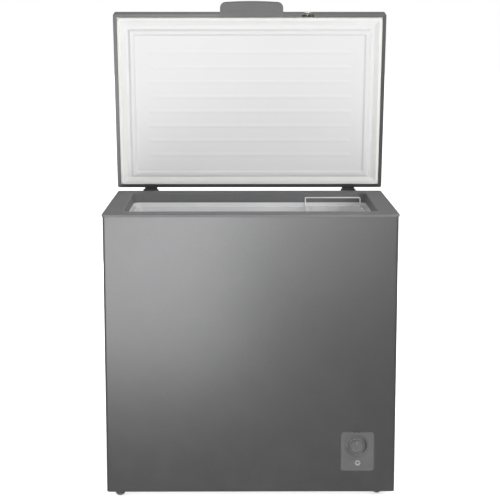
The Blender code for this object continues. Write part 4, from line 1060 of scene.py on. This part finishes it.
class FREEZER_OT_hinges(BuildStep):
    """Brackets, leaves and pins of both hinges, with their screws"""
    bl_idname = "freezer.hinges"
    bl_label = "Hinges and screws"

    def build(self, sizes, looks):
        for side in ("left", "right"):
            softened(f"hinge_bracket_{side}", looks["black"], "cabinet", 0.0005)
            softened(f"hinge_leaf_{side}", looks["black"], "lid", 0.0006)
            low, high = span(f"hinge_pin_{side}")
            mid = (low + high) / 2
            half = (high.x - low.x) / 2
            head, r = (high.z - low.z) / 2, 0.0030
            profile = eased([(0.0001, -half), (head - 0.0006, -half), (head, -half + 0.0006),
                             (head, -half + 0.0018), (r, -half + 0.0018), (r, half - 0.0008),
                             (r - 0.0008, half), (0.0001, half)], 0.0003, 3)
            pin = new_object(f"hinge_rod_{side}", *turned(profile, mid, (1, 0, 0), 32))
            finish_piece(pin, looks["zinc"], "cabinet", (f"hinge_pin_{side}",), sharp=40)
        self.screws(looks)

    def screws(self, looks):
        """Pan-head cross-recess screws, one shape copied to every screw's seat."""
        nodes = [n for n in frame["nodes"] if "screw" in n]
        seats = []
        for node in nodes:
            low, high = span(node)
            seats.append(((low.x + high.x) / 2, high.y - 0.0021, (low.z + high.z) / 2))
        profile = eased([(0.0001, -0.0011), (0.0017, -0.0011), (0.0018, 0.0003), (0.0038, 0.0003),
                         (0.0038, 0.0008), (0.0031, 0.0015), (0.0018, 0.0020),
                         (0.0001, 0.0021)], 0.0005, 3)
        head = new_object("screw_shape", *turned(profile, (0, 0, 0), (0, 1, 0), 28))
        arms = [box_mesh((-a, 0.0009, -b), (a, 0.0030, b)) for a, b in ((0.0022, 0.0004),
                                                                        (0.0004, 0.0022))]
        for arm in arms:
            carve(head, [arm])
        shape = ([tuple(v.co) for v in head.data.vertices],
                 [tuple(p.vertices) for p in head.data.polygons])
        bpy.data.objects.remove(head, do_unlink=True)
        piece = repeated("cabinet_screws", seats, shape, looks["zinc"], 0.7)
        finish_piece(piece, looks["zinc"], "cabinet", nodes, sharp=35)


class FREEZER_OT_controls(BuildStep):
    """The control panel, its printed scale, the knob and the lamp"""
    bl_idname = "freezer.controls"
    bl_label = "Control panel"

    def build(self, sizes, looks):
        low, high = span("control_panel")
        mid, half = seen_from_front(low, high)
        half = (half[0] - PLATE_EDGE, half[1] - PLATE_EDGE)
        seat = FRONT + SHEET + GAP
        face = low.y
        back = high.y
        groove = 0.0034
        corner = 0.012
        rings = [face_ring(half[0] + PLATE_EDGE, half[1] + PLATE_EDGE, corner + PLATE_EDGE, y,
                           mid, 12)
                 for y in (back, seat)]
        land = ((0.0006 - groove, seat), (-groove, seat + 0.0002), (-groove, face + 0.0012),
                (-groove - 0.0004, face + 0.0004), (-groove - 0.0012, face))
        rings += [face_ring(half[0] + g, half[1] + g, corner + g, y, mid, 12) for g, y in land]
        panel = new_object("panel_plate", *skin(rings))
        dish = turned([(0.0305, 0.0022), (0.0322, 0.0016), (0.0332, 0.0), (0.0336, -0.006)],
                      (DIAL.x, face, DIAL.z), (0, 1, 0), 96)
        bore = rod((DIAL.x, FRONT - 0.01, DIAL.z), (0, 1, 0), 0.0036, 0.04)
        lamp_low, lamp_high = span("lamp_ring")
        lamp = (lamp_low + lamp_high) / 2
        hole = rod((lamp.x, FRONT - 0.01, lamp.z), (0, 1, 0), 0.0087, 0.04)
        for cutter in (dish, bore, hole):
            carve(panel, [cutter])
        finish_piece(panel, looks["panel"], "cabinet", ("control_panel",),
                     sharp=38)
        # A dark strip laid on the floor of the groove round the panel: painted shade, so the groove
        # reads as a dark line.
        strip = skin([face_ring(half[0] + g, half[1] + g, corner + g, y, mid, 12)
                      for g, y in ((0.0002 - groove, seat - 0.00005),
                                   (0.0002 - groove, seat - 0.0005),
                                   (-0.0003, seat - 0.0005), (-0.0003, seat - 0.00005))], True)
        seal = new_object("panel_seal", *strip)
        finish_piece(seal, looks["groove"], "cabinet", sharp=40)
        self.scale(sizes, looks, face)
        self.knob(looks)

        r = (lamp_high.x - lamp_low.x) / 2
        out = FRONT - lamp_low.y
        profile = eased([(0.0030, -0.0089), (r, -0.0089), (r, out - 0.0012), (r - 0.0010, out),
                         (0.0052, out - 0.0005), (0.0042, out - 0.0011),
                         (0.0030, 0.0006), (0.0030, -0.0070)], 0.0006, 4)
        ring = new_object("lamp_bezel", *turned(profile, (lamp.x, FRONT, lamp.z), (0, -1, 0), 64,
                                                closed=True))
        finish_piece(ring, looks["lamp_ring"], "cabinet", ("lamp_ring",), sharp=50)
        profile = eased([(0.0001, -0.0089), (0.0027, -0.0089), (0.0027, 0.0002),
                         (0.0018, 0.0008), (0.0001, 0.0009)], 0.0004, 4)
        lens = new_object("lamp_glow", *turned(profile, (lamp.x, FRONT, lamp.z), (0, -1, 0), 40))
        finish_piece(lens, looks["lens"], "cabinet", ("lamp_lens",), sharp=50)
        softened("thermostat", looks["zinc"], "cabinet", 0.0006)

    def scale(self, sizes, looks, face):
        """Dark marks round the dial: a crescent hugging the knob, thickest straight to its right,
        two thin arcs, ticks and a small arch.
        """
        floor = face + 0.0022
        parts = []

        def strip(start, end, width, radius, steps=40, y=None):
            inner = []
            outer = []
            for k in range(steps + 1):
                t = k / steps
                a = math.radians(start + (end - start) * t)
                w = width(t)
                for side, r in ((inner, radius - w / 2), (outer, radius + w / 2)):
                    side.append((DIAL.x + r * math.sin(a), DIAL.z + r * math.cos(a)))
            rings = []
            base = floor if y is None else y
            for (ix, iz), (ox, oz) in zip(inner, outer):
                rings.append([(ix, base + 0.0002, iz), (ox, base + 0.0002, oz),
                              (ox, base - INK, oz), (ix, base - INK, iz)])
            parts.append(skin(rings))

        # A dark crescent hugging the knob, thickest straight to its right and thin at both ends.
        strip(33, 145, lambda t: 0.0008 + 0.0046 * math.sin(math.pi * t) ** 0.8, 0.0270)
        strip(-165, -100, lambda t: 0.0014, 0.0284)
        strip(-32, 24, lambda t: 0.0012, 0.0270)
        arch = []
        cx, cz = DIAL.x + 0.0004, DIAL.z + 0.0345
        for k in range(25):
            a = math.pi * k / 24
            ring = []
            for r in (0.0062, 0.0080):
                ring.append((cx + r * math.cos(a), cz + r * math.sin(a) * 0.8))
            (ix, iz), (ox, oz) = ring
            arch.append([(ix, face + 0.0002, iz), (ox, face + 0.0002, oz),
                         (ox, face - INK, oz), (ix, face - INK, iz)])
        parts.append(skin(arch))
        marks = new_object("dial_print", *merge(parts))
        finish_piece(marks, looks["ink"], "cabinet", sharp=30)

        count = sizes.scale_ticks
        points = []
        for k in range(count):
            a = math.radians(-135 + 270 * k / (count - 1))
            points.append((DIAL.x + 0.0248 * math.sin(a), floor, DIAL.z + 0.0248 * math.cos(a)))
        dot = turned([(0.0001, INK), (0.0006, INK), (0.0006, -0.0002), (0.0001, -0.0002)],
                     (0, 0, 0), (0, -1, 0), 16)
        dots = repeated("dial_dots", points, dot, looks["ink"])
        finish_piece(dots, looks["ink"], "cabinet", sharp=30)

    def knob(self, looks):
        low, high = span("thermostat_knob")
        radius = (high.x - low.x) / 2
        floor = FRONT - 0.0010 + 0.0022 - 0.0003
        out = floor - low.y
        profile = eased([(0.0001, -0.0120), (0.0030, -0.0120), (0.0030, 0), (radius - 0.0004, 0),
                         (radius, 0.0005), (radius - 0.0005, 0.0034), (radius - 0.0016, 0.0042),
                         (0.0186, 0.0046), (0.0180, 0.0056), (0.0176, out - 0.0012),
                         (0.0166, out - 0.0002), (0.0140, out - 0.0003), (0.0125, out - 0.0012),
                         (0.0001, out - 0.0016)], 0.0006, 3)
        flat = len(profile)
        knob = new_object("dial_knob", *turned(profile, (DIAL.x, floor, DIAL.z), (0, -1, 0), 192,
                                               flutes=(48, flat * 0.52, flat * 0.70, 0.018)))
        grip = skin([face_ring(0.0034 - k, 0.0150 - k, 0.0032 - k, floor - out + y,
                               (DIAL.x, DIAL.z), 6)
                     for k, y in ((0, 0.0030), (0, 0.0012), (0.0004, 0.0006), (0.0012, 0.0002))])
        carve(knob, [grip], "UNION")
        finish_piece(knob, looks["panel"], "knob", ("thermostat_knob",),
                     sharp=34)
        line = skin([face_ring(0.0007, 0.0045, 0.0006, floor - out + y, (DIAL.x, DIAL.z + 0.0090),
                               5) for y in (0.0004, 0.0000)])
        pointer = new_object("knob_pointer", *line)
        finish_piece(pointer, looks["lamp_ring"], "knob", sharp=30)


class FREEZER_OT_basket(BuildStep):
    """The coated wire basket"""
    bl_idname = "freezer.basket"
    bl_label = "Basket"

    def build(self, sizes, looks):
        low, high = span("basket")
        r = sizes.wire_radius
        thin = r * 0.85
        x0, x1 = low.x + r, high.x - r
        y0, y1 = low.y + r, high.y - r
        rise = 0.0250
        top = high.z - r - rise
        floor = top - 0.1900
        mid = ((x0 + x1) / 2, (y0 + y1) / 2)
        half = ((x1 - x0) / 2, (y1 - y0) / 2)
        weld = 1.65 * r
        slope = 0.010
        heavy = []
        light = []

        def hoop(inset, z, corner):
            ring = rounded(half[0] - inset, half[1] - inset, corner, 8, mid)
            return [(x, y, z) for x, y in ring], True

        heavy.append(hoop(0, top, 0.0045))
        heavy.append(hoop((weld + slope) / 2 + weld, (top + floor) / 2, 0.009))
        for y in (y0, y1):
            points = [(x0 + 0.0002, y, top), (x0 + 0.0002, y, top + rise),
                      (x1 - 0.0002, y, top + rise), (x1 - 0.0002, y, top)]
            heavy.append((points[:1] + eased(points[1:], 0.006, 8), False))
        for lengthwise, count, margin in ((True, 4, 0.0226), (False, 9, 0.0200)):
            across, along = (half[0], half[1]) if lengthwise else (half[1], half[0])
            depth = floor if lengthwise else floor + weld
            for k in range(count):
                at = (k - (count - 1) / 2) * 2 * (across - margin) / (count - 1)
                line = []
                for s, z in ((-1, top + 0.0012), (-1, depth), (1, depth), (1, top + 0.0012)):
                    reach = s * (along - (slope if z < top else weld))
                    point = (at, reach) if lengthwise else (reach, at)
                    line.append((mid[0] + point[0], mid[1] + point[1], z))
                light.append((eased(line, 0.008, 8), False))
        made = []
        for name, paths, radius in (("basket_frame", heavy, r), ("basket_bars", light, thin)):
            verts = []
            edges = []
            for path, closed in paths:
                base = len(verts)
                verts += path
                edges += [(base + k, base + k + 1) for k in range(len(path) - 1)]
                if closed:
                    edges.append((base + len(path) - 1, base))
            mesh = bpy.data.meshes.new(name)
            mesh.from_pydata(verts, edges, [])
            obj = put(name, mesh)
            tree, keys = wire_tree(looks["wire"])
            run_tree(obj, tree, {keys["radius"]: radius, keys["sides"]: 16})
            clean(obj.data, 0.00001)
            made.append(obj)
        finish_piece(made[0], looks["wire"], "basket", ("basket",), sharp=50)
        finish_piece(made[1], looks["wire"], "basket", sharp=50)


class FREEZER_OT_fittings(BuildStep):
    """Glides, the slotted cover at the back and the cord's gland"""
    bl_idname = "freezer.fittings"
    bl_label = "Fittings"

    def build(self, sizes, looks):
        for k in range(1, 5):
            low, high = span(f"foot_{k}")
            mid = (low + high) / 2
            tall = high.z
            profile = eased([(0.0001, 0), (0.0062, 0), (0.0098, 0.0020), (0.0132, 0.0075),
                             (0.0148, 0.0125), (0.0149, 0.0150), (0.0149, tall),
                             (0.0001, tall)], 0.0030, 5)
            glide = new_object(f"glide_{k}", *turned(profile, (mid.x, mid.y, 0), (0, 0, 1), 56))
            finish_piece(glide, looks["rubber"], "cabinet", (f"foot_{k}",),
                         sharp=40)
        low, high = span("rear_grille")
        mid, half = seen_from_front(low, high)
        rings = [face_ring(half[0] - i, half[1] - i, 0.006 - i, y, mid, 8)
                 for i, y in ((0, low.y), (0, high.y - 0.0005), (0.0005, high.y))]
        cover = new_object("vent_cover", *skin(rings))
        rows, cols = [0.060 + k * 0.0155 for k in range(10)], ((0.182, 0.264), (0.276, 0.358))
        slots = []
        points = []
        for z in rows:
            for left, right in cols:
                centre = ((left + right) / 2, z)
                slots.append(skin([face_ring((right - left) / 2, 0.0030, 0.0029, y, centre, 8)
                                   for y in (low.y - 0.01, high.y + 0.01)]))
                points.append(((left + right) / 2, high.y, z))
        for node in ("grille_screw_1", "grille_screw_2", "grille_screw_3", "grille_screw_4"):
            a, b = span(node)
            slots.append(rod(((a.x + b.x) / 2, low.y - 0.01, (a.z + b.z) / 2), (0, 1, 0),
                             0.0022, 0.02, 24))
        carve(cover, slots)
        finish_piece(cover, looks["dark"], "cabinet", ("rear_grille",), sharp=35)
        length = (cols[0][1] - cols[0][0]) / 2 - 0.001
        rings = []
        for x in (-length, -length * 0.97, length * 0.97, length):
            tip = 0.25 if abs(x) == length else 1.0
            rings.append([(x, -0.0008, 0.0032), (x, 0.0026 * tip, 0.0008),
                          (x, 0.0034 * tip, -0.0012), (x, 0.0026 * tip, -0.0016),
                          (x, 0.0016 * tip, 0.0000),
                          (x, -0.0010, 0.0024)])
        hoods = repeated("vent_hoods", points, skin(rings), looks["dark"])
        finish_piece(hoods, looks["dark"], "cabinet", sharp=40)

        low, high = span("cord_gland")
        mid = (low + high) / 2
        profile = eased([(0.0035, -0.0080), (0.0058, -0.0080), (0.0058, 0.0003), (0.0091, 0.0003),
                         (0.0091, 0.0014), (0.0084, 0.0043), (0.0052, 0.0055), (0.0042, 0.0055),
                         (0.0035, 0.0048), (0.0035, -0.0060)], 0.0006, 4)
        gland = new_object("cord_bush", *turned(profile, (mid.x, BACK, mid.z), (0, 1, 0), 48,
                                                closed=True))
        finish_piece(gland, looks["rubber"], "cabinet", ("cord_gland",), sharp=50)


class FREEZER_OT_machinery(BuildStep):
    """The compressor and what stands round it in the bay"""
    bl_idname = "freezer.machinery"
    bl_label = "Machinery"

    def build(self, sizes, looks):
        low, high = span("compressor")
        mid = (low + high) / 2
        wide = (high.x - low.x) / 2
        oval = (high.y - low.y) / (high.x - low.x)
        profile = eased([(0.0001, 0), (0.030, 0), (0.048, 0.006), (0.057, 0.022),
                         (0.058, 0.0800), (wide, 0.0812), (wide, 0.0868), (0.058, 0.0880),
                         (0.057, 0.135), (0.049, 0.155), (0.028, 0.167), (0.0001, 0.167)],
                        0.006, 6)
        shell = new_object("compressor_body", *turned(profile, (mid.x, mid.y, low.z), (0, 0, 1),
                                                      96, oval))
        finish_piece(shell, looks["black"], "cabinet", ("compressor",), sharp=40)
        softened("compressor_cradle", looks["black"], "cabinet", 0.0005)
        softened("relay_cover", looks["dark"], "cabinet", 0.0020)
        for node in ("suction_pipe", "discharge_pipe", "filter_drier"):
            dress(node, looks["copper"])
        for k in range(1, 5):
            dress(f"grommet_{k}", looks["rubber"])


def dress(node, material):
    """Gives a CAD node that keeps its own mesh a detailed material."""
    for slot in frame["nodes"][node].material_slots:
        slot.material = material
    if not frame["nodes"][node].material_slots:
        frame["nodes"][node].data.materials.append(material)


# Soft lights: shape, place, aim, width, height and power in watts.
LIGHTS = {
    "near_low": ("RECTANGLE", (-0.62, -1.45, 0.42), (-0.62, 0, 0.42), 1.15, 0.75, 7.9),
    "low_mid": ("RECTANGLE", (0, -3.8, 0.8), (0, 0, 0.6), 1.2, 1.2, 22.6),
    "far_front": ("DISK", (0, -7.0, 2.6), (0, 0, 0.9), 2.6, 2.6, 50.4),
    "front_left_up": ("RECTANGLE", (-1.1, -2.4, 1.5), (-0.2, 0, 1.0), 1.2, 0.9, 4.7),
    "right_up": ("RECTANGLE", (1.9, -2.3, 1.6), (0.2, 0, 1.05), 1.2, 0.9, 37.5),
    "left_side": ("RECTANGLE", (-3.6, 1.3, 1.2), (0, 0.1, 0.6), 3.4, 2.4, 55.0),
    "right_side": ("RECTANGLE", (3.6, 1.3, 1.2), (0, 0.1, 0.6), 3.4, 2.4, 60.0),
    "back_low": ("RECTANGLE", (0, 3.6, 0.5), (0, 0, 0.5), 4.2, 0.8, 40.0),
    "overhead_back": ("DISK", (0, 2.6, 4.2), (0, 0, 0.8), 1.8, 1.8, 15.0),
}
SKY = 0.316          # even light from all round
BACKDROP = 0.85      # extra light off the pale floor, and off walls behind and beside
FLOOR_LIGHT = 3.4    # overhead light that only the floor receives
LENS_MM = 99.9
CAMERA_X, CAMERA_AWAY, CAMERA_HIGH = -0.024, 3.710, 1.317
CAMERA_TILT, CAMERA_PAN = 80.58, -0.34   # degrees


class FREEZER_OT_stage(BuildStep):
    """Floor, lights and camera"""
    bl_idname = "freezer.stage"
    bl_label = "Stage"

    def build(self, sizes, looks):
        floor = self.floor()
        self.world()
        for name, (shape, spot, aim, width, height, power) in LIGHTS.items():
            light = bpy.data.lights.new(name, "AREA")
            light.shape = shape
            light.size = width
            if shape == "RECTANGLE":
                light.size_y = height
            light.energy = power
            self.place(name, light, spot, aim)
        sun = bpy.data.lights.new("floor_light", "SUN")
        sun.energy = FLOOR_LIGHT
        sun.angle = math.radians(80)
        lamp = self.place("floor_light", sun, (0, -1, 5), (0, -0.6, 0))
        only = bpy.data.collections.new("Lit by the floor light")
        only.objects.link(floor)
        lamp.light_linking.receiver_collection = only
        lamp.light_linking.blocker_collection = only
        self.camera()

    def floor(self):
        corners = [(-30, -30, 0), (30, -30, 0), (30, 30, 0), (-30, 30, 0)]
        floor = new_object("stage_floor", corners, [(0, 1, 2, 3)])
        pale = bpy.data.materials.new("Pale floor")
        pale.use_nodes = True
        shader = pale.node_tree.nodes["Principled BSDF"]
        shader.inputs["Base Color"].default_value = (0.90, 0.90, 0.90, 1)
        shader.inputs["Roughness"].default_value = 0.9
        floor.data.materials.append(pale)
        floor.visible_glossy = False
        floor.visible_diffuse = False
        return floor

    def place(self, name, light, spot, aim):
        lamp = put(name, light)
        lamp.location = spot
        lamp.rotation_euler = (Vector(aim) - Vector(spot)).to_track_quat("-Z", "Y").to_euler()
        lamp.visible_camera = False
        return lamp

    def world(self):
        """White behind everything, and an even soft light from all round."""
        scene = bpy.context.scene
        scene.view_settings.view_transform = "Standard"
        scene.view_settings.look = "None"
        world = bpy.data.worlds.new("Studio")
        scene.world = world
        world.use_nodes = True
        tree = world.node_tree
        tree.nodes.clear()
        out = tree.nodes.new("ShaderNodeOutputWorld")
        seen = tree.nodes.new("ShaderNodeBackground")
        soft = tree.nodes.new("ShaderNodeBackground")
        mix = tree.nodes.new("ShaderNodeMixShader")
        rays = tree.nodes.new("ShaderNodeLightPath")
        for node in (seen, soft):
            node.inputs["Color"].default_value = (1, 1, 1, 1)
        axes = tree.nodes.new("ShaderNodeSeparateXYZ")
        tree.links.new(tree.nodes.new("ShaderNodeTexCoord").outputs["Generated"], axes.inputs[0])
        behind = remap(tree, axes.outputs["Y"], -0.2, 0.5)
        front = maths(tree, "SUBTRACT", 1.0, behind)
        floor_far = remap(tree, axes.outputs["Z"], 0.05, -0.20)
        ceiling = remap(tree, axes.outputs["Z"], 0.35, 0.65, 0.0, 0.6)
        floor_near = remap(tree, axes.outputs["Z"], -0.32, -0.60, 0.0, 0.8)
        share = maths(tree, "ADD", maths(tree, "MULTIPLY", front, floor_near),
                      maths(tree, "MULTIPLY", behind, maths(tree, "ADD", floor_far, ceiling)))
        extra = maths(tree, "MULTIPLY", share, BACKDROP)
        tree.links.new(maths(tree, "ADD", extra, SKY), soft.inputs["Strength"])
        tree.links.new(rays.outputs["Is Camera Ray"], mix.inputs[0])
        tree.links.new(soft.outputs[0], mix.inputs[1])
        tree.links.new(seen.outputs[0], mix.inputs[2])
        tree.links.new(mix.outputs[0], out.inputs["Surface"])

    def camera(self):
        data = bpy.data.cameras.new("camera")
        camera = put("camera", data)
        data.sensor_width = 36
        data.lens = LENS_MM
        data.clip_end = 100
        camera.location = (CAMERA_X, FRONT - CAMERA_AWAY, CAMERA_HIGH)
        camera.rotation_euler = (math.radians(CAMERA_TILT), 0, math.radians(CAMERA_PAN))
        bpy.context.scene.camera = camera


STEPS = (
    FREEZER_OT_cabinet, FREEZER_OT_rim, FREEZER_OT_bin, FREEZER_OT_lid, FREEZER_OT_hinges,
    FREEZER_OT_controls, FREEZER_OT_basket, FREEZER_OT_fittings, FREEZER_OT_machinery,
    FREEZER_OT_stage,
)


class FREEZER_PT_panel(bpy.types.Panel):
    """Sizes, colours and building steps of the freezer"""
    bl_idname = "FREEZER_PT_panel"
    bl_label = "Chest freezer"
    bl_space_type = "VIEW_3D"
    bl_region_type = "UI"
    bl_category = "Freezer"

    def draw(self, context):
        layout = self.layout
        for group in choices():
            box = layout.box()
            for key in group.bl_rna.properties.keys():
                if key not in ("rna_type", "name"):
                    box.prop(group, key)
        for step in STEPS:
            layout.operator(step.bl_idname)


CLASSES = (FreezerSizes, FreezerColours, *STEPS, FREEZER_PT_panel)


def register():
    for cls in CLASSES:
        bpy.utils.register_class(cls)
    bpy.types.Scene.freezer_sizes = bpy.props.PointerProperty(type=FreezerSizes)
    bpy.types.Scene.freezer_colours = bpy.props.PointerProperty(type=FreezerColours)


def unregister():
    del bpy.types.Scene.freezer_colours
    del bpy.types.Scene.freezer_sizes
    for cls in reversed(CLASSES):
        bpy.utils.unregister_class(cls)


def main():
    register()
    for step in STEPS:
        group, name = step.bl_idname.split(".")
        getattr(getattr(bpy.ops, group), name)()


if __name__ == "__main__":
    main()
